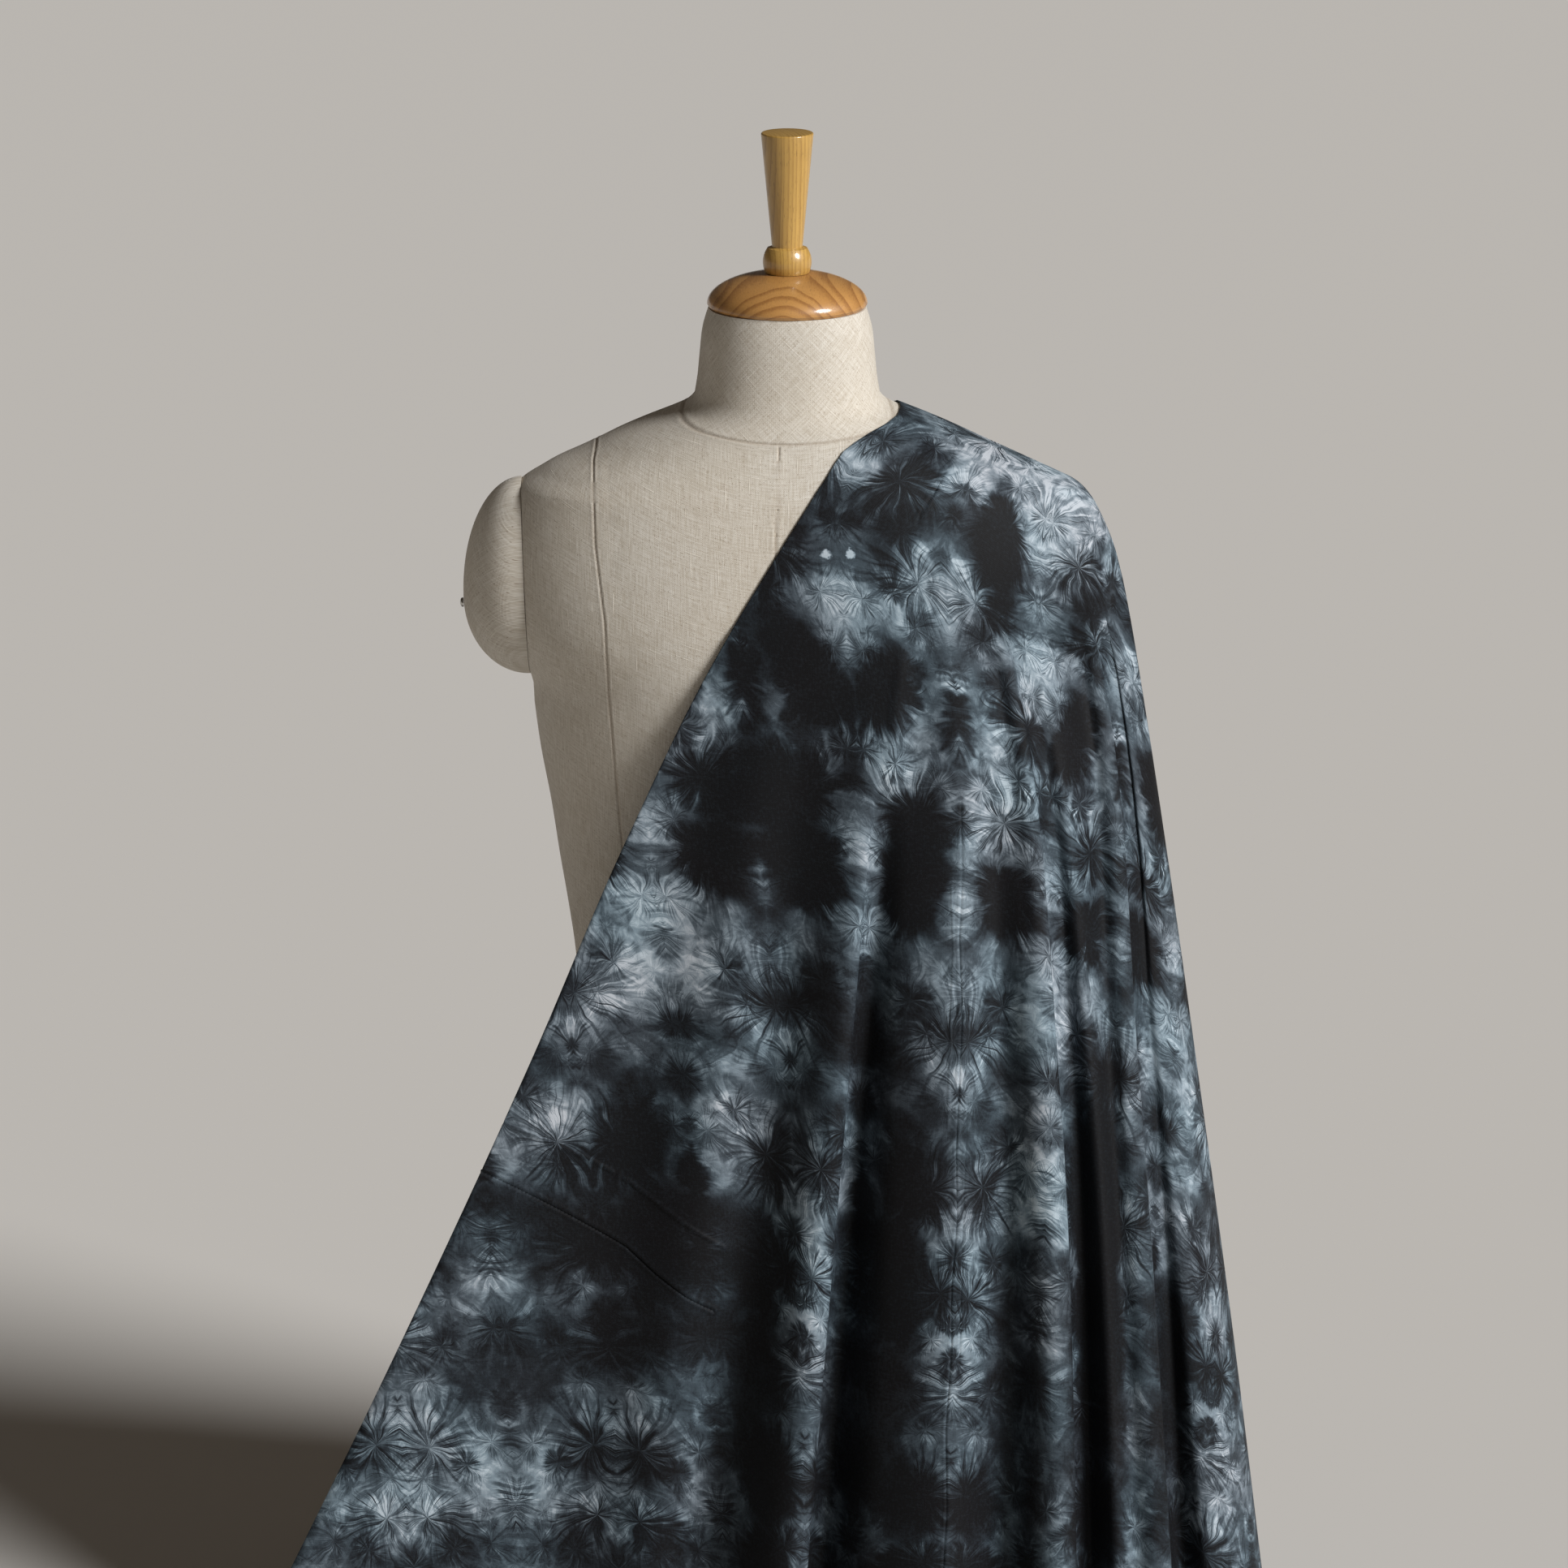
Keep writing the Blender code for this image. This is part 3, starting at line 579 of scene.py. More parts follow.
def build_linen_body():
    """Fine loft of the body with its seams, cut flat at the arm joints."""
    heights = np.concatenate((np.arange(1010, 945, -6.5), np.arange(945, 876, -2.6),
                              np.arange(876, 186, -7.5), [185.0]))
    turns = np.linspace(0, 2 * math.pi, BODY_AROUND, endpoint=False) + math.pi / 2
    half_width, front, back = body_at(heights)
    side, ahead = np.cos(turns), np.sin(turns)
    x = half_width[:, None] * np.sign(side) * np.abs(side) ** (2 / BODY_POWER)
    depth = np.where(ahead < 0, front[:, None], back[:, None])
    y = depth * np.sign(ahead) * np.abs(ahead) ** (2 / BODY_POWER)
    rings = np.stack((x, y, np.broadcast_to(heights[:, None], x.shape)), axis=2)
    closed = np.concatenate((rings, rings[:, :1]), axis=1)
    around, down = run_length(closed, 1), run_length(closed, 0)
    around -= around[:, BODY_AROUND // 2:BODY_AROUND // 2 + 1]
    faces, uvs = [], []
    for i in range(len(rings) - 1):
        for j in range(BODY_AROUND):
            corners = ((i, j), (i, j + 1), (i + 1, j + 1), (i + 1, j))
            faces.append([c[0] * BODY_AROUND + c[1] % BODY_AROUND for c in corners])
            uvs += [(around[c], -down[c]) for c in corners]
    last = (len(rings) - 1) * BODY_AROUND
    for ring in (range(BODY_AROUND), range(last + BODY_AROUND - 1, last - 1, -1)):
        faces.append(list(ring)[::-1])
        uvs += [(0.0, 0.0)] * BODY_AROUND
    obj = add_object("linen_body", net_mesh("linen_body", rings.reshape(-1, 3), faces, uvs))
    edit_all(obj, bpy.ops.mesh.normals_make_consistent, inside=False)
    lines = [lambda p: np.where(p[:, 2] < 1008, np.abs(p[:, 2] - neck_seam_height(p)), 1e3)]
    for turned, seam in ((-1, PRINCESS_SEAM), (1, PRINCESS_SEAM), (1, CENTRE_SEAM)):
        path = [(turned * seam_x, z) for seam_x, z in seam]
        lines.append(lambda p, path=path: distance_to_line(p[:, (0, 2)], path))
    for line in lines:
        def seam_distance(points, line=line):
            return np.where((points[:, 2] > 186) & (points[:, 2] < 1009), line(points), 1e3)
        refine_near(obj, seam_distance, (6.0, 3.2, 1.8, 1.2))
        points = read_points(obj.data)
        near = seam_distance(points) < 12
        points[near] = on_body(points[near])
        write_points(obj.data, points)
    depth = settings().form.seam_depth / MM
    # seam: nearness to a seam, which darkens the linen as painted shade in the grooves, partly dirt.
    seam = np.zeros(len(obj.data.vertices))
    for line in lines:
        seam = np.maximum(seam, np.exp(-(line(read_points(obj.data)) / SEAM_SHADE) ** 2))
        press(obj, line, -depth, SEAM_WIDTH)
    obj.data.attributes.new("seam", "FLOAT", "POINT").data.foreach_set("value", seam)
    for turned in (-1, 1):
        path = [(turned * (x - CREASE_INSET), z) for x, z in PRINCESS_SEAM[1:6]]
        press(obj, lambda p, path=path: distance_to_line(p[:, (0, 2)], path), CREASE_RISE, CREASE_WIDTH)
    turn_neck_grain(obj)
    for way in (-1, 1):
        cut_arm_joint(obj, way)
    bpy.ops.object.shade_smooth_by_angle(angle=PADDED_ANGLE)
    return obj


def turn_neck_grain(obj):
    """Turn the weave of the neck's linen to the bias, above the neck seam."""
    mesh = obj.data
    centres = np.array([face.center for face in mesh.polygons]) / MM
    above = centres[:, 2] > neck_seam_height(centres)
    uvs = np.empty(len(mesh.loops) * 2, np.float32)
    layer = mesh.uv_layers["UVMap"]
    layer.data.foreach_get("uv", uvs)
    uvs = uvs.reshape(-1, 2)
    turned = uvs @ np.array(((1, 1), (-1, 1)), np.float32) / math.sqrt(2)
    for face in np.flatnonzero(above):
        loops = mesh.polygons[face].loop_indices
        uvs[loops.start:loops.stop] = turned[loops.start:loops.stop]
    layer.data.foreach_set("uv", uvs.ravel())


def cut_arm_joint(obj, way):
    """Cut the body flat where an arm stub sits."""
    edit_all(obj, bpy.ops.mesh.bisect, plane_co=(way * JOINT_X * MM, 0, JOINT_HEIGHT * MM),
             plane_no=(way * math.cos(JOINT_LEAN), 0, -math.sin(JOINT_LEAN)),
             use_fill=True, clear_outer=True, threshold=CUT_THRESHOLD)


def build_arm_stub(name, way):
    """Half an egg of padded linen with its flat face on the joint."""
    bpy.ops.mesh.primitive_uv_sphere_add(segments=STUB_SEGMENTS, ring_count=STUB_RINGS, radius=1.0)
    obj = bpy.context.object
    obj.name = obj.data.name = name
    points = read_points(obj.data) * MM
    points *= (STUB_REACH, STUB_DEPTH, 1.0)
    points[:, 2] *= np.where(points[:, 2] > 0, STUB_UP, STUB_DOWN)
    write_points(obj.data, points)
    edit_all(obj, bpy.ops.mesh.bisect, plane_co=(0, 0, 0), plane_no=(way, 0, 0),
             use_fill=True, clear_inner=True, threshold=CUT_THRESHOLD)
    points = read_points(obj.data)
    _, deep, up = np.array([points[loop.vertex_index] for loop in obj.data.loops]).T * MM
    uvs = np.column_stack((up + deep, deep - up)) * BIAS_SCALE
    obj.data.uv_layers[0].data.foreach_set("uv", uvs.ravel())
    place = (Matrix.Translation((way * (JOINT_X + JOINT_GAP) * MM, 0, JOINT_HEIGHT * MM))
             @ Matrix.Rotation(way * JOINT_LEAN, 4, "Y"))
    obj.data.transform(place)
    bpy.ops.object.shade_smooth_by_angle(angle=PADDED_ANGLE)
    return obj


# Turned pieces

def turn_up(name, rings):
    """Closed turned piece, drawn up ring by ring from radius and height pairs."""
    radius, height = rings[0]
    facets = settings().wood.facets if radius > SMALL_RADIUS else SMALL_FACETS
    bpy.ops.mesh.primitive_circle_add(vertices=facets, radius=radius, fill_type="NGON",
                                      location=(0, 0, height))
    obj = bpy.context.object
    obj.name = obj.data.name = name
    bpy.ops.object.mode_set(mode="EDIT")
    bpy.ops.mesh.select_all(action="SELECT")
    for next_radius, next_height in rings[1:]:
        bpy.ops.mesh.extrude_region_move(TRANSFORM_OT_translate={"value": (0, 0, next_height - height)})
        grow = next_radius / radius
        bpy.ops.transform.resize(value=(grow, grow, 1), center_override=(0, 0, next_height))
        radius, height = next_radius, next_height
    bpy.ops.object.mode_set(mode="OBJECT")
    edit_all(obj, bpy.ops.mesh.normals_make_consistent, inside=False)
    bpy.ops.object.transform_apply(location=True, rotation=True, scale=True)
    bpy.ops.object.shade_smooth_by_angle(angle=TURNED_ANGLE)
    return obj


def arc(radius, rise, base, start, end, count):
    """Radius and height pairs along an oval turn, between two angles from the level."""
    return [(radius * math.cos(a), base + rise * math.sin(a)) for a in np.linspace(start, end, count + 1)]


def build_cap():
    """Dome of turned wood, undercut at its rim, with a flat seat for the finial."""
    seat = math.acos(CAP_SEAT_RADIUS / CAP_RADIUS)
    rings = [(CAP_RADIUS - CAP_UNDERCUT, CAP_BOTTOM)] + arc(CAP_RADIUS, CAP_RISE, CAP_RIM, 0, seat, 30)
    return turn_up("turned_cap", rings)


def build_finial():
    """Ball with a handle that widens towards its top."""
    seat = CAP_RIM + CAP_RISE * math.sin(math.acos(CAP_SEAT_RADIUS / CAP_RADIUS)) + GAP
    foot, top = (math.asin((level - BALL_HEIGHT) / BALL_RADIUS) for level in (seat, HANDLE_FOOT))
    ball = arc(BALL_RADIUS, BALL_RADIUS, BALL_HEIGHT, foot, top, 24)
    foot_ring = (HANDLE_FOOT_RADIUS, HANDLE_FOOT + HANDLE_EDGE)
    rise, grow = HANDLE_TOP - HANDLE_EDGE - foot_ring[1], HANDLE_TOP_RADIUS - HANDLE_FOOT_RADIUS
    handle = [(HANDLE_FOOT_RADIUS + grow * t, foot_ring[1] + rise * t) for t in np.linspace(0, 1, 9)]
    edge = arc(HANDLE_EDGE, HANDLE_EDGE, HANDLE_TOP - HANDLE_EDGE, 0.3, math.pi / 2, 5)
    rim = [(HANDLE_TOP_RADIUS - HANDLE_EDGE + r, z) for r, z in edge]
    return turn_up("turned_finial", ball + handle + rim)


def build_pin_head():
    """Low domed pin on the outer side of the bare stub."""
    place = (Matrix.Translation((-(JOINT_X + JOINT_GAP) * MM, 0, JOINT_HEIGHT * MM))
             @ Matrix.Rotation(-JOINT_LEAN, 4, "Y")
             @ Matrix.Translation((-STUB_REACH * MM - GAP, 0, PIN_LEVEL))
             @ Matrix.Rotation(-math.pi / 2, 4, "Y"))
    flat = PIN_LENGTH * 0.35
    rings = [(PIN_RADIUS, 0.0), (PIN_RADIUS, flat)] + arc(PIN_RADIUS, PIN_LENGTH - flat, flat, 0.15, 1.45, 10)
    pin = turn_up("pin_head", rings)
    pin.data.transform(place)
    return pin


def build_stand():
    """Board with a rounded edge, iron pole and turned foot."""
    stand = settings().stand
    height, half_width, front, back = (value * MM for value in BODY_SECTIONS[-1])
    board_top = height - GAP
    lower = board_top - BOARD_THICK
    rings = []
    for r, z in arc(BOARD_ROUND, BOARD_ROUND, 0, -math.pi / 2, math.pi / 2, 8):
        level = lower + BOARD_ROUND if z < 0 else board_top - BOARD_ROUND
        rings.append((1 - (BOARD_ROUND - r) / half_width, level + z))
    board = turn_up("hip_board", rings)
    points = read_points(board.data)
    points[:, 0] *= half_width - BOARD_INSET
    points[:, 1] *= np.where(points[:, 1] < 0, front, back) - BOARD_INSET
    write_points(board.data, points)
    pole_top, pole_foot = lower - GAP, BASE_THICK + GAP
    pole = turn_up("iron_pole", [(stand.pole_radius, pole_foot), (stand.pole_radius, pole_top)])
    corner = arc(BASE_ROUND, BASE_ROUND, BASE_THICK - BASE_ROUND, 0, math.pi / 2, 10)
    foot = [(stand.base_radius, 0.0)] + [(stand.base_radius - BASE_ROUND + r, z) for r, z in corner]
    return board, pole, turn_up("turned_foot", foot)


# Materials: small tools for making nodes

class Graph:
    """Short calls that add nodes to one shader tree and link them."""

    def __init__(self, tree):
        self.tree = tree

    def fill(self, socket, value):
        """Link a node's output to an input, or set the input's own value."""
        if isinstance(value, bpy.types.NodeSocket):
            self.tree.links.new(value, socket)
        else:
            socket.default_value = value

    def node(self, kind, inputs=None, **options):
        """Add a node, set its options, and fill its inputs by name or number."""
        made = self.tree.nodes.new("ShaderNode" + kind)
        for name, value in options.items():
            setattr(made, name, value)
        for key, value in (inputs or {}).items():
            self.fill(made.inputs[key], value)
        return made

    def math(self, operation, a, b=0.0):
        """Result of a Math node."""
        return self.node("Math", {0: a, 1: b}, operation=operation).outputs[0]

    def plus(self, a, b):
        """Sum of two values."""
        return self.math("ADD", a, b)

    def minus(self, a, b):
        """Difference of two values."""
        return self.math("SUBTRACT", a, b)

    def times(self, a, b):
        """Product of two values."""
        return self.math("MULTIPLY", a, b)

    def vector(self, operation, a, b=(0, 0, 0)):
        """Vector result of a Vector Math node."""
        return self.node("VectorMath", {0: a, 1: b}, operation=operation).outputs[0]

    def scaled(self, vector, amount):
        """A vector made longer or shorter."""
        return self.node("VectorMath", {0: vector, "Scale": amount}, operation="SCALE").outputs[0]

    def length(self, vector):
        """Length of a vector."""
        return self.node("VectorMath", {0: vector}, operation="LENGTH").outputs["Value"]

    def parts(self, vector):
        """The three parts of a vector."""
        return self.node("SeparateXYZ", {0: vector}).outputs

    def joined(self, x=0.0, y=0.0, z=0.0):
        """A vector of three parts."""
        return self.node("CombineXYZ", {0: x, 1: y, 2: z}).outputs[0]

    def noise(self, vector, scale, detail=2.0, roughness=0.5, output=0):
        """Noise value at a scale."""
        inputs = {"Vector": vector, "Scale": scale, "Detail": detail, "Roughness": roughness}
        return self.node("TexNoise", inputs).outputs[output]

    def ripple(self, *noise):
        """Noise value about zero."""
        return self.minus(self.noise(*noise), 0.5)

    def drift(self, *noise):
        """Noise vector about zero, to warp a place with."""
        return self.vector("SUBTRACT", self.noise(*noise, output="Color"), (0.5, 0.5, 0.5))

    def ranged(self, value, low, high, to_low=0.0, to_high=1.0):
        """A value moved from one range to another with soft ends."""
        return self.node("MapRange", {0: value, 1: low, 2: high, 3: to_low, 4: to_high},
                         interpolation_type="SMOOTHSTEP").outputs[0]

    def cells(self, vector, scale, randomness=1.0, feature="F1"):
        """Outputs of flat cells about scattered middles."""
        inputs = {"Vector": vector, "Scale": scale, "Randomness": randomness}
        return self.node("TexVoronoi", inputs, voronoi_dimensions="2D", feature=feature).outputs

    def mix(self, share, a, b, blend="MIX"):
        """Mix of two colours."""
        made = self.node("Mix", {0: share}, data_type="RGBA", blend_type=blend)
        for place, colour in ((6, a), (7, b)):
            linked = isinstance(colour, bpy.types.NodeSocket)
            self.fill(made.inputs[place], colour if linked else (*colour[:3], 1.0))
        return made.outputs[2]

    def ramp(self, value, stops):
        """Colour ramp through places and colours."""
        made = self.node("ValToRGB", {0: value})
        elements = made.color_ramp.elements
        for place, colour in stops[1:-1]:
            elements.new(place)
        for element, (place, colour) in zip(elements, stops):
            element.position = place
            element.color = (*colour, 1.0)
        return made.outputs[0]

    def bump(self, height, depth, strength):
        """Normal of a height map, its depth in metres."""
        return self.node("Bump", {"Height": height, "Distance": depth, "Strength": strength}).outputs[0]

    def effect(self, maker, **inputs):
        """Outputs of a shared effect, its group made on its first use."""
        name = maker.__name__
        return self.node("Group", inputs, node_tree=bpy.data.node_groups.get(name) or maker(name)).outputs


def new_group(name, inputs, outputs):
    """Empty node group with a vector and number inputs: its graph, its inputs by name and its end."""
    tree = bpy.data.node_groups.new(name, "ShaderNodeTree")
    tree.interface.new_socket(name="Vector", in_out="INPUT", socket_type="NodeSocketVector")
    for names, way in ((inputs, "INPUT"), (outputs, "OUTPUT")):
        for socket in names:
            tree.interface.new_socket(name=socket, in_out=way, socket_type="NodeSocketFloat")
    start, end = tree.nodes.new("NodeGroupInput"), tree.nodes.new("NodeGroupOutput")
    return Graph(tree), start.outputs, end.inputs


def close_group(graph, end, *values):
    """Link a group's results to its end: the finished tree."""
    for socket, value in zip(end, values):
        graph.tree.links.new(value, socket)
    return graph.tree


def new_material(name, **shader_values):
    """Material with a Principled shader, its plain values set on its own sockets."""
    material = bpy.data.materials.new(name)
    material.use_nodes = True
    shader = material.node_tree.nodes["Principled BSDF"]
    for socket, value in shader_values.items():
        shader.inputs[socket.replace("_", " ")].default_value = value
    return material, Graph(material.node_tree), shader


def finish(material, graph, shader, colour, normal, roughness=None):
    """Link the varying colour, normal and roughness to the shader."""
    for socket, value in (("Base Color", colour), ("Normal", normal), ("Roughness", roughness)):
        if value is not None:
            graph.tree.links.new(value, shader.inputs[socket])
    return material


# Shared effects

def thread_weave(name):
    """Plain weave with uneven threads: height, streaky shade, thick threads and flecks."""
    g, start, end = new_group(name, ("Pitch", "Streak"), ("Height", "Shade", "Slub", "Fleck"))
    u, v, _ = g.parts(start["Vector"])
    turn = g.math("DIVIDE", math.pi, start["Pitch"])
    over = g.times(*[g.math("SINE", g.times(way, turn)) for way in (u, v)])

    def streaks(across, along, seed, detail=1.0, roughness=0.5):
        """Noise drawn out along one way of the threads."""
        return g.noise(g.joined(g.times(u, across), g.times(v, along), seed), 1.0, detail, roughness)

    fine, drawn = start["Streak"], g.times(start["Streak"], 0.045)
    shade = g.times(g.plus(streaks(fine, drawn, 0.0, 3.0, 0.6), streaks(drawn, fine, 7.0, 3.0, 0.6)), 0.5)
    slub = g.math("MAXIMUM", *[g.ranged(streaks(*way), 0.66, 0.80)
                               for way in ((34.0, 780.0, 3.0), (780.0, 34.0, 11.0))])
    fleck = g.math("MAXIMUM", *[g.ranged(streaks(*way), 0.64, 0.74)
                                for way in ((1500.0, 330.0, 5.0), (330.0, 1500.0, 17.0))])
    height = g.plus(g.times(over, 0.25), g.times(shade, 1.2))
    return close_group(g, end, height, shade, slub, fleck)


def dye_burst(name):
    """Dark pools with feathered edges, thin rays and leaf-like strokes, where dye crept along the gathers."""
    g, start, end = new_group(name, ("Size", "Amount", "Seed"), ("Pool", "Rays", "Leaf"))
    seed = start["Seed"]
    place = g.vector("ADD", g.scaled(start["Vector"], g.math("DIVIDE", 1.0, start["Size"])),
                     g.joined(seed, g.times(seed, 1.7)))
    warped = g.vector("ADD", place, g.scaled(g.drift(place, 1.7, 1.0), 0.32))
    flat = g.vector("MULTIPLY", warped, (1, 1, 0))
    cell = g.cells(flat, 1.0, 0.85)
    border = g.cells(flat, 1.0, 0.85, "DISTANCE_TO_EDGE")["Distance"]
    inside = g.ranged(border, 0.0, 0.14)
    spoke = g.vector("SUBTRACT", flat, cell["Position"])
    reach, way = g.length(spoke), g.vector("NORMALIZE", spoke)
    chance, other, _ = g.parts(cell["Color"])

    def around(scale, spin, drift):
        """Noise about zero by the way from the cell's middle, drifting along its reach."""
        shift = g.joined(g.times(chance, spin), g.times(other, spin), g.times(reach, drift))
        return g.ripple(g.vector("ADD", g.scaled(way, scale), shift), 1.0, 2.0, 0.6)

    teeth, rays = around(3.2, 37.0, 2.6), around(5.0, 20.0, 0.4)
    uneven = g.plus(g.times(teeth, 1.25), g.times(g.minus(chance, 0.5), 0.5))
    rim = g.minus(g.plus(start["Amount"], g.times(uneven, inside)), reach)
    line = g.ranged(g.math("ABSOLUTE", rays), 0.004, 0.030, 1.0, 0.0)
    line = g.times(g.times(line, inside), g.ranged(reach, 0.02, 0.12))
    line = g.times(line, g.ranged(g.plus(reach, g.times(teeth, 0.8)), 0.20, 0.48, 1.0, 0.0))
    strokes = g.plus(around(3.6, 51.0, 1.3), around(8.5, 23.0, 0.7))
    leaf = g.times(strokes, g.ranged(border, 0.0, 0.22))
    return close_group(g, end, g.ranged(rim, -0.10, 0.26), line, leaf)


def wood_grain(name):
    """Growth rings about the Y axis with pores along it: ring tone, fibre tone and pore mask."""
    g, start, end = new_group(name, ("Ring", "Wander"), ("Rings", "Fibre", "Pores"))
    place = start["Vector"]
    bend = g.drift(g.vector("MULTIPLY", place, (1, 0.25, 1)), 28.0)
    x, _, z = g.parts(g.vector("ADD", place, g.scaled(bend, start["Wander"])))
    out = g.math("SQRT", g.plus(g.times(x, x), g.times(z, z)))
    turn = g.math("DIVIDE", out, start["Ring"])
    tooth = g.math("FRACT", g.plus(turn, g.times(g.noise(g.joined(turn), 0.7, 1.0), 1.6)))
    rings = g.times(g.ranged(tooth, 0.25, 0.92), g.ranged(tooth, 0.93, 1.0, 1.0, 0.0))
    fibre = g.noise(g.vector("MULTIPLY", place, (900, 30, 900)), 1.0, 3.0, 0.6)
    pores = g.ranged(g.noise(g.vector("MULTIPLY", place, (1500, 90, 1500)), 1.0, 1.0), 0.64, 0.72)
    return close_group(g, end, rings, fibre, pores)


# Finishes

def twin_spots(g):
    """Two ragged pale spots side by side on the front, where a tie kept the dye off the folded cloth."""
    solid = g.node("TexCoord").outputs["Object"]
    x, y, z = g.parts(solid)
    across = g.minus(g.math("ABSOLUTE", g.minus(x, SPOT_X)), SPOT_HALF_APART)
    apart = g.length(g.joined(across, g.minus(z, SPOT_HEIGHT)))
    edge = g.plus(apart, g.times(g.ripple(solid, 300.0, 3.0, 0.6), SPOT_RADIUS * 1.6))
    spot = g.ranged(edge, SPOT_RADIUS * 0.4, SPOT_RADIUS * 1.1, 0.95, 0.0)
    return g.times(spot, g.math("LESS_THAN", y, 0.0))


def ink_cotton():
    """Indigo-black cotton with the pale bursts and mirrored patches of bound and folded dyeing."""
    dye = settings().cloth
    material, g, shader = new_material("shibori_dye", Roughness=0.72, Specular_IOR_Level=0.15,
                                       Sheen_Weight=0.015, Sheen_Roughness=0.45)
    place = g.node("UVMap", uv_map="UVMap").outputs[0]
    # pale holds the patch table: dye patches, with painted highlights on the fold crowns and painted shadow
    # beside the fold edges, in the troughs and towards the hem.
    pale = g.node("Attribute", attribute_name="pale").outputs["Fac"]
    u, v, _ = g.parts(g.vector("ADD", place, g.scaled(g.drift(place, 16.0, 3.0, 0.6), 0.020)))
    folded = g.joined(g.math("PINGPONG", g.plus(u, dye.fold_offset), dye.fold_width), v)
    cloud = g.ripple(folded, 30.0, 2.0, 0.5)
    level = g.plus(pale, g.times(g.ripple(folded, 13.0, 1.0), 1.6))
    tone = g.ranged(g.plus(g.times(level, 0.55), g.times(cloud, 1.3)), -0.50, 0.80, 0.05, 1.0)
    for size, base, pull, seed, depth, ray_depth, leaf_depth in DYE_POOLS:
        amount = g.minus(base, g.times(level, pull))
        pool, rays, leaf = g.effect(dye_burst, Vector=folded, Size=size, Amount=amount, Seed=seed)
        shade = g.node("Clamp", {0: g.plus(g.times(pool, depth), g.times(rays, ray_depth))}).outputs[0]
        tone = g.times(tone, g.minus(1.0, shade))
        tone = g.times(tone, g.ranged(leaf, -0.12, 0.10, 1.0 - leaf_depth, 1.0 + 0.8 * leaf_depth))
    ragged = g.vector("ADD", folded, g.scaled(g.drift(folded, 95.0, 3.0, 0.65), 0.030))
    petal = g.cells(ragged, 40.0, feature="DISTANCE_TO_EDGE")["Distance"]
    tone = g.times(tone, g.ranged(petal, 0.0, 0.20, 0.90, 1.02))
    wisp = g.math("ABSOLUTE", g.ripple(folded, 40.0, 2.0, 0.5))
    tone = g.times(tone, g.ranged(wisp, 0.0, 0.12, 0.84, 1.06))
    tone = g.math("MAXIMUM", tone, twin_spots(g))
    threads = g.effect(thread_weave, Vector=place, Pitch=COTTON_PITCH, Streak=COTTON_STREAK)
    mottle = g.times(g.ripple(place, 420.0, 3.0, 0.65), 0.22)
    tone = g.plus(tone, g.plus(mottle, g.times(g.minus(threads["Shade"], 0.5), 0.20)))
    colour = g.ramp(tone, [(0.0, dye.darkest), (0.14, dye.deep), (0.36, dye.slate), (0.66, dye.mist),
                           (1.0, dye.palest)])
    hue = g.mix(g.ranged(g.noise(place, 11.0), 0.36, 0.66), (0.93, 1.04, 1.06), (1.10, 0.98, 0.96))
    colour = g.mix(0.5, colour, hue, "MULTIPLY")
    normal = g.bump(g.plus(threads["Height"], cloud), COTTON_RELIEF, 0.6)
    return finish(material, g, shader, colour, normal, g.ranged(tone, 0.0, 0.8, 0.62, 0.82))


def natural_linen():
    """Undyed linen with streaks, thick threads, dark flecks and shaded seams."""
    linen = settings().form
    material, g, shader = new_material("slubbed_linen", Roughness=0.9, Specular_IOR_Level=0.25,
                                       Sheen_Weight=0.08)
    place = g.node("UVMap", uv_map="UVMap").outputs[0]
    threads = g.effect(thread_weave, Vector=place, Pitch=LINEN_PITCH, Streak=LINEN_STREAK)
    colour = g.mix(g.ranged(threads["Shade"], 0.36, 0.64), linen.shade_colour, linen.thread_colour)
    # The seams take the fleck colour: painted shade along the seam grooves, partly dirt.
    seam = g.node("Attribute", attribute_name="seam").outputs["Fac"]
    for share, amount, other in ((threads["Slub"], 0.60, linen.slub_colour),
                                 (threads["Fleck"], 0.65, linen.fleck_colour),
                                 (seam, 0.40, linen.fleck_colour)):
        colour = g.mix(g.times(share, amount), colour, other)
    age = g.noise(g.node("TexCoord").outputs["Object"], 14.0, 3.0)
    aged = g.mix(g.ranged(age, 0.3, 0.7), (0.88, 0.84, 0.78), (1.0, 1.0, 1.0))
    colour = g.mix(0.35, colour, aged, "MULTIPLY")
    height = g.plus(threads["Height"], g.times(threads["Slub"], 0.7))
    return finish(material, g, shader, colour, g.bump(height, LINEN_RELIEF, 0.8))


def waxed_wood(name, centre, turn, ring, wander, dark, light, contrast):
    """Waxed hardwood: rings about an axis through a centre, fibres along the axis, a clear coat over it."""
    material, g, shader = new_material(name, Roughness=0.42, Coat_Weight=settings().wood.polish,
                                       Coat_Roughness=0.12)
    solid = g.node("TexCoord").outputs["Object"]
    place = g.node("Mapping", {"Vector": solid, "Location": centre, "Rotation": turn},
                   vector_type="POINT").outputs[0]
    rings, fibre, pores = g.effect(wood_grain, Vector=place, Ring=ring, Wander=wander)
    tone = g.plus(g.times(rings, contrast), g.times(g.minus(fibre, 0.5), 0.7))
    colour = g.mix(g.ranged(tone, -0.15, 0.9), light, dark)
    colour = g.mix(g.times(pores, 0.35), colour, (0.10, 0.045, 0.015))
    broad = g.mix(g.ranged(g.noise(solid, 30.0), 0.3, 0.7), (0.82, 0.78, 0.72), (1.0, 1.0, 1.0))
    colour = g.mix(0.5, colour, broad, "MULTIPLY")
    normal = g.bump(g.minus(fibre, pores), WOOD_RELIEF, 0.5)
    return finish(material, g, shader, colour, normal, g.ranged(fibre, 0.3, 0.7, 0.36, 0.50))


def cap_wood():
    """Cap: arched rings about an axis that runs front to back below it."""
    wood = settings().wood
    return waxed_wood("cap_wood", (0.004, 0.0, -0.985), (0, 0, 0), 0.0058, 0.006,
                      wood.cap_dark, wood.cap_light, 0.55)


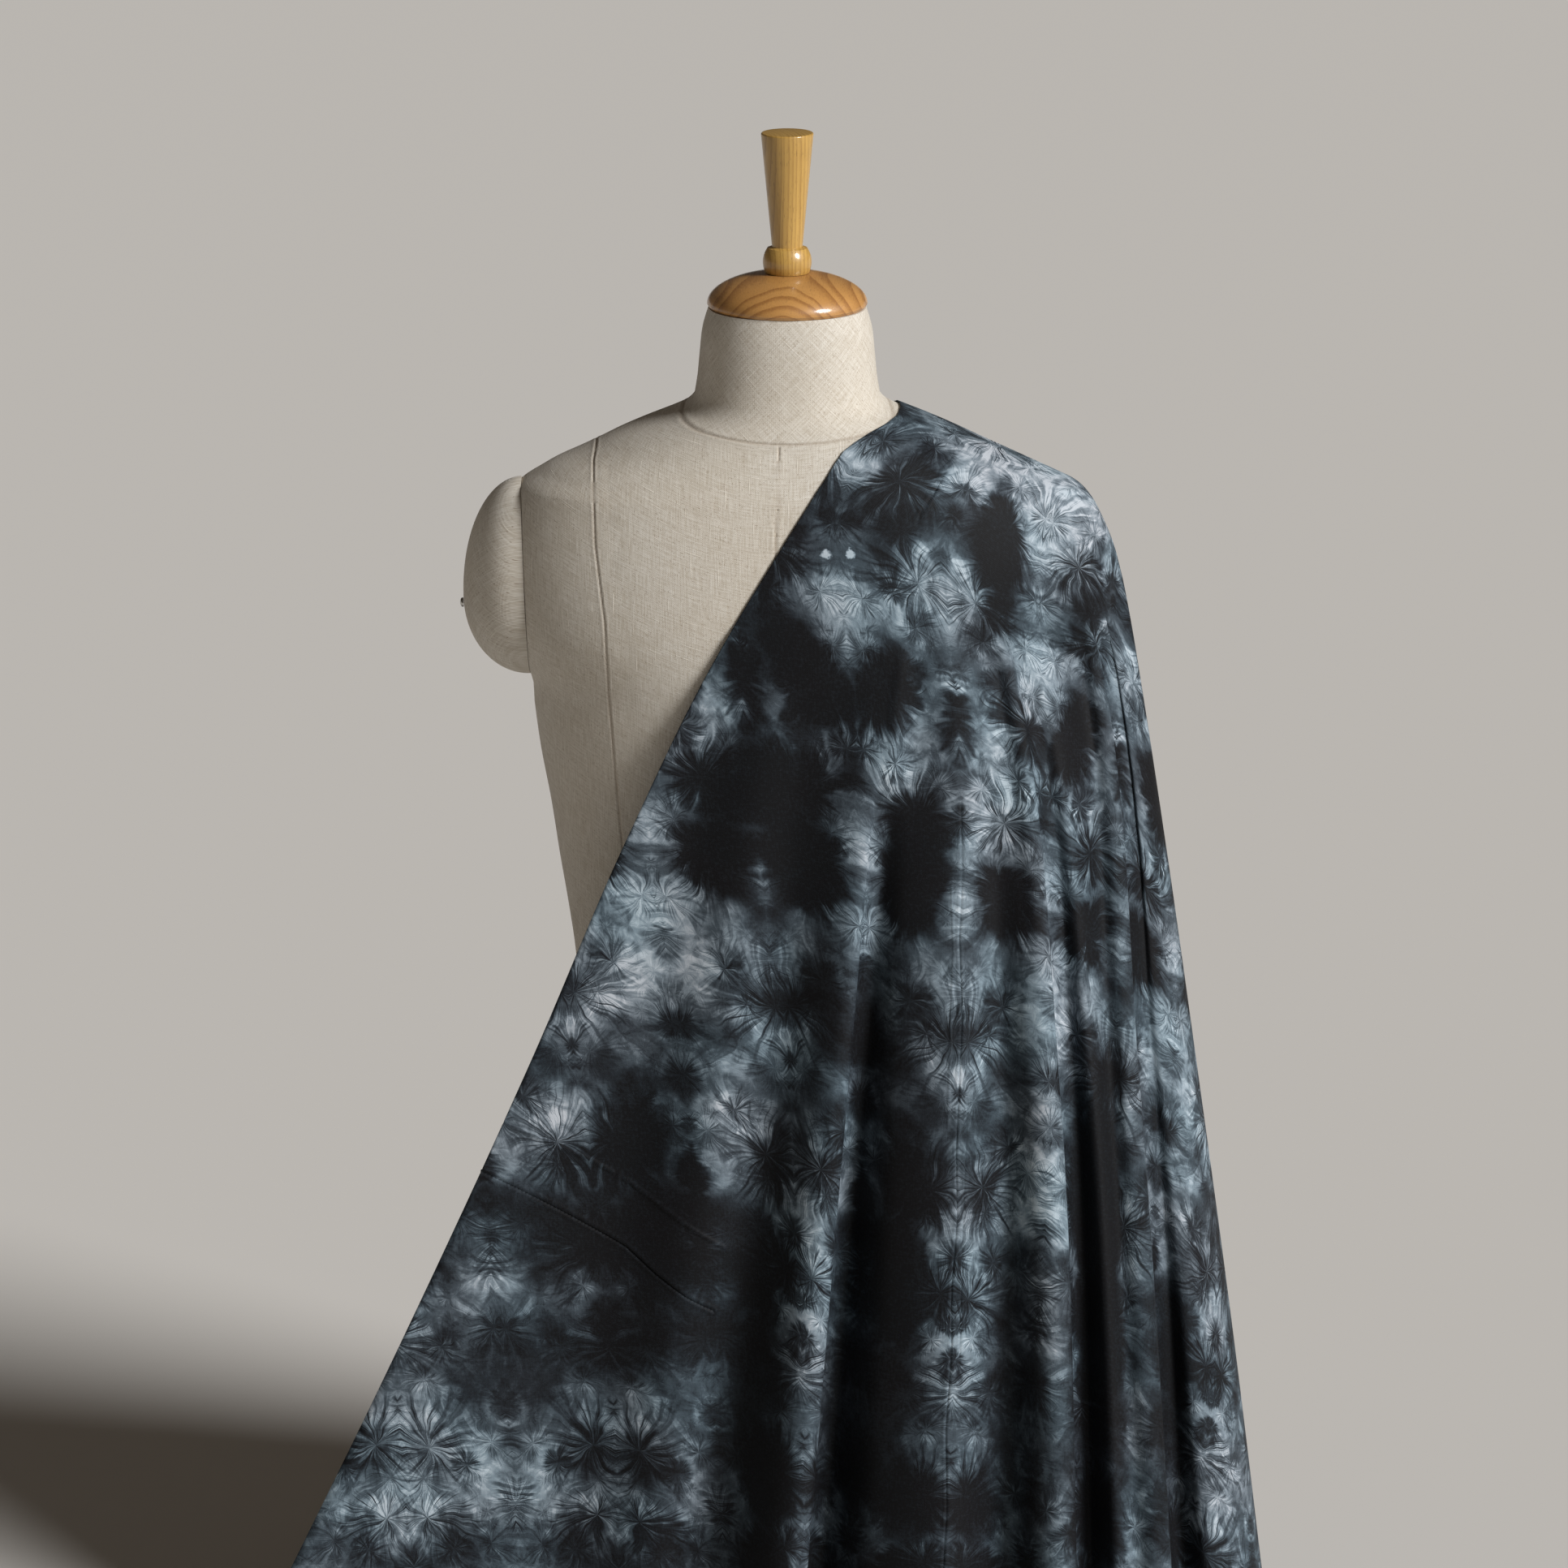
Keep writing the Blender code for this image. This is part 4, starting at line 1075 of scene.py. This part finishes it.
def finial_wood():
    """Handle and ball: straight upright grain."""
    wood = settings().wood
    return waxed_wood("finial_wood", (0.05, 0.0, 0.02), (math.pi / 2, 0, 0), 0.0030, 0.003,
                      wood.handle_dark, wood.handle_light, 0.45)


def stand_wood():
    """Board and foot: plain sawn grain across."""
    wood = settings().wood
    return waxed_wood("stand_wood", (0.06, 0.0, 0.25), (0, 0, math.pi / 2), 0.0060, 0.008,
                      wood.cap_dark, wood.cap_light, 0.6)


def brushed_metal(name, colour, roughness, metallic, relief):
    """Metal with fine rubbed marks and slightly uneven polish."""
    material, g, shader = new_material(name, Roughness=roughness, Metallic=metallic)
    solid = g.node("TexCoord").outputs["Object"]
    marks = g.noise(g.vector("MULTIPLY", solid, (1, 1, 9)), 700.0, 3.0, 0.6)
    shade = g.mix(g.ranged(g.noise(solid, 60.0, 3.0), 0.3, 0.7), [0.75 * part for part in colour], colour)
    rough = g.plus(g.ranged(marks, 0.3, 0.7, -0.08, 0.08), roughness)
    return finish(material, g, shader, shade, g.bump(marks, relief, 0.5), rough)


# Settings, one group for each kind of piece

def colour_setting(name, description, default):
    """Colour setting."""
    return FloatVectorProperty(name=name, description=description, subtype="COLOR", min=0.0, max=1.0,
                               default=default)


def length_setting(name, description, default):
    """Length setting."""
    return FloatProperty(name=name, description=description, default=default, unit="LENGTH", precision=4)


def angle_setting(name, description, default):
    """Angle setting."""
    return FloatProperty(name=name, description=description, default=default, unit="ROTATION")


def share_setting(name, description, default):
    """Setting from zero up."""
    return FloatProperty(name=name, description=description, default=default, min=0.0)


class ShiboriClothSettings(bpy.types.PropertyGroup):
    """Drape and dye of the cotton."""
    thickness: length_setting("Thickness", "Thickness of the cotton", 0.0006)
    clearance: length_setting("Clearance", "Gap between the cotton and the body", 0.0010)
    stub_clearance: length_setting("Stub clearance", "Gap between the cotton and the arm stub", 0.0022)
    loom_width: length_setting("Loom width", "Width of the cotton as woven", 1.12)
    cut_length: length_setting("Cut length", "Length that was cut from the bolt", 1.90)
    fold_width: length_setting("Dye fold", "Width between the mirror lines of the folded dyeing", 0.080)
    fold_offset: length_setting("Dye fold offset", "Place of the first mirror line", 0.0)
    darkest: colour_setting("Darkest dye", "Dye where it pooled", (0.004, 0.004, 0.005))
    deep: colour_setting("Deep dye", "Main dye", (0.016, 0.021, 0.027))
    slate: colour_setting("Slate dye", "Dye half held back", (0.058, 0.077, 0.094))
    mist: colour_setting("Mist", "Pale patches", (0.20, 0.25, 0.29))
    palest: colour_setting("Palest", "Cloth that the dye hardly reached", (0.46, 0.52, 0.57))


class ShiboriFormSettings(bpy.types.PropertyGroup):
    """Linen cover of the form."""
    seam_depth: length_setting("Seam depth", "Depth of the seams", 0.0006)
    thread_colour: colour_setting("Thread", "Light linen threads", (0.70, 0.66, 0.59))
    shade_colour: colour_setting("Thread shade", "Between the threads", (0.53, 0.475, 0.395))
    slub_colour: colour_setting("Slub", "Thick threads", (0.82, 0.77, 0.68))
    fleck_colour: colour_setting("Fleck", "Dark flecks of husk", (0.24, 0.17, 0.11))


class ShiboriWoodSettings(bpy.types.PropertyGroup):
    """Turned wood."""
    facets: IntProperty(name="Facets", description="Faces round a turned piece", default=96, min=24, max=256)
    polish: FloatProperty(name="Polish", description="Weight of the wax coat", default=0.6, min=0.0, max=1.0)
    cap_dark: colour_setting("Cap rings", "Late wood of the cap", (0.29, 0.120, 0.030))
    cap_light: colour_setting("Cap wood", "Early wood of the cap", (0.56, 0.285, 0.085))
    handle_dark: colour_setting("Handle grain", "Darker grain of the handle", (0.34, 0.18, 0.036))
    handle_light: colour_setting("Handle wood", "Light wood of the handle", (0.58, 0.35, 0.088))


class ShiboriStandSettings(bpy.types.PropertyGroup):
    """Hidden stand."""
    pole_radius: length_setting("Pole radius", "Radius of the iron pole", 0.016)
    base_radius: length_setting("Foot radius", "Radius of the round foot", 0.110)


class ShiboriStudioSettings(bpy.types.PropertyGroup):
    """Light, floor and camera."""
    key_strength: share_setting("Key", "Strength of the key light", 4.0)
    key_softness: angle_setting("Key softness", "Width of the key light in the sky", 0.40)
    key_tilt: angle_setting("Key tilt", "Angle of the key light from straight down", math.radians(60))
    key_turn: angle_setting("Key turn", "Key light's turn to the right of the camera", math.radians(58))
    fill_strength: share_setting("Fill", "Strength of the even light", 0.07)
    floor_colour: colour_setting("Floor", "Plain floor", (0.70, 0.675, 0.64))


class ShiboriForm(bpy.types.PropertyGroup):
    """All settings of the dressed form."""
    cloth: PointerProperty(type=ShiboriClothSettings)
    form: PointerProperty(type=ShiboriFormSettings)
    wood: PointerProperty(type=ShiboriWoodSettings)
    stand: PointerProperty(type=ShiboriStandSettings)
    studio: PointerProperty(type=ShiboriStudioSettings)


# Operators

class SHIBORI_OT_stage(bpy.types.Operator):
    """Lay the floor, hang the light and set the camera"""
    bl_idname = "shibori.stage"
    bl_label = "Studio"

    def execute(self, context):
        studio = settings().studio
        bpy.ops.object.select_all(action="DESELECT")
        bpy.ops.mesh.primitive_plane_add(size=2 * FLOOR_REACH, location=(0, FLOOR_REACH / 2, 0))
        floor = context.object
        floor.name = "studio_floor"
        show_only(floor)
        bpy.ops.object.transform_apply(location=True, rotation=True, scale=True)
        material, graph, shader = new_material("studio_floor", Roughness=0.95, Specular_IOR_Level=0.1)
        shader.inputs["Base Color"].default_value = (*studio.floor_colour, 1.0)
        set_material(floor, material)
        bpy.ops.object.light_add(type="SUN", location=(3, -3, 4),
                                 rotation=(studio.key_tilt, 0, studio.key_turn))
        key = context.object
        key.name = "key_light"
        key.data.energy = studio.key_strength
        key.data.angle = studio.key_softness
        world = context.scene.world or bpy.data.worlds.new("studio_fill")
        context.scene.world = world
        world.use_nodes = True
        sky = world.node_tree.nodes["Background"]
        sky.inputs["Color"].default_value = FILL_COLOUR
        sky.inputs["Strength"].default_value = studio.fill_strength
        bpy.ops.object.camera_add(location=CAMERA_PLACE, rotation=(math.radians(90) - CAMERA_TILT, 0, 0))
        camera = context.object
        camera.name = "photo_view"
        camera.data.sensor_width = 36.0
        camera.data.lens = CAMERA_LENS
        context.scene.camera = camera
        context.scene.view_settings.view_transform = "Standard"
        return {"FINISHED"}


class SHIBORI_OT_linen_body(bpy.types.Operator):
    """Loft the linen body with its seams"""
    bl_idname = "shibori.linen_body"
    bl_label = "Linen body"

    def execute(self, context):
        body = build_linen_body()
        set_material(body, natural_linen())
        place_piece(body, "natural_linen", "form_torso")
        return {"FINISHED"}


class SHIBORI_OT_arm_stubs(bpy.types.Operator):
    """Round the two padded arm stubs and set the pin in the bare one"""
    bl_idname = "shibori.arm_stubs"
    bl_label = "Arm stubs"

    def execute(self, context):
        for name, way, node in (("linen_stub_left", -1, "arm_stub_left"),
                                ("linen_stub_right", 1, "arm_stub_right")):
            stub = build_arm_stub(name, way)
            set_material(stub, bpy.data.materials["slubbed_linen"])
            place_piece(stub, "natural_linen", node)
        pin = build_pin_head()
        set_material(pin, brushed_metal("polished_pin", (0.62, 0.60, 0.56), 0.32, 1.0, STEEL_RELIEF))
        place_piece(pin, "pin_metal", "arm_pin")
        return {"FINISHED"}


class SHIBORI_OT_turned_wood(bpy.types.Operator):
    """Turn the neck cap and the finial"""
    bl_idname = "shibori.turned_wood"
    bl_label = "Turned cap and finial"

    def execute(self, context):
        cap = build_cap()
        set_material(cap, cap_wood())
        place_piece(cap, "waxed_wood", "neck_cap")
        finial = build_finial()
        set_material(finial, finial_wood())
        place_piece(finial, "waxed_wood", "finial")
        return {"FINISHED"}


class SHIBORI_OT_stand(bpy.types.Operator):
    """Board under the body, iron pole and turned foot"""
    bl_idname = "shibori.stand"
    bl_label = "Stand"

    def execute(self, context):
        board, pole, base = build_stand()
        wood = stand_wood()
        set_material(board, wood)
        place_piece(board, "waxed_wood", "bottom_board")
        set_material(pole, brushed_metal("rubbed_iron", (0.045, 0.045, 0.048), 0.5, 0.7, IRON_RELIEF))
        place_piece(pole, "dark_iron", "stand_pole")
        set_material(base, wood)
        place_piece(base, "waxed_wood", "stand_base")
        return {"FINISHED"}


class SHIBORI_OT_cotton(bpy.types.Operator):
    """Drape the dyed cotton over the shoulder"""
    bl_idname = "shibori.cotton"
    bl_label = "Dyed cotton"

    def execute(self, context):
        cloth = build_cloth()
        set_material(cloth, ink_cotton())
        place_piece(cloth, "ink_cotton", "shibori_cloth")
        return {"FINISHED"}


class SHIBORI_PT_pieces(bpy.types.Panel):
    """Pieces of the dressed form, in the order they are made"""
    bl_idname = "SHIBORI_PT_pieces"
    bl_label = "Shibori Form"
    bl_space_type = "VIEW_3D"
    bl_region_type = "UI"
    bl_category = "Shibori"

    def draw(self, context):
        form = context.scene.shibori_form
        for operator, group in PIECES:
            self.layout.operator(operator.bl_idname)
            for name in getattr(form, group).bl_rna.properties.keys():
                if name not in ("rna_type", "name"):
                    self.layout.prop(getattr(form, group), name)


PIECES = (
    (SHIBORI_OT_stage, "studio"),
    (SHIBORI_OT_linen_body, "form"),
    (SHIBORI_OT_arm_stubs, "form"),
    (SHIBORI_OT_turned_wood, "wood"),
    (SHIBORI_OT_stand, "stand"),
    (SHIBORI_OT_cotton, "cloth"),
)
CLASSES = (ShiboriClothSettings, ShiboriFormSettings, ShiboriWoodSettings, ShiboriStandSettings,
           ShiboriStudioSettings, ShiboriForm, *[operator for operator, _ in PIECES], SHIBORI_PT_pieces)


def register():
    """Add the classes and the scene's settings."""
    for cls in CLASSES:
        bpy.utils.register_class(cls)
    bpy.types.Scene.shibori_form = PointerProperty(type=ShiboriForm)


def unregister():
    """Take the classes and the scene's settings away."""
    del bpy.types.Scene.shibori_form
    for cls in reversed(CLASSES):
        bpy.utils.unregister_class(cls)


def main():
    """Make every piece in order."""
    register()
    for operator, _ in PIECES:
        group, name = operator.bl_idname.split(".")
        getattr(getattr(bpy.ops, group), name)()


if __name__ == "__main__":
    main()
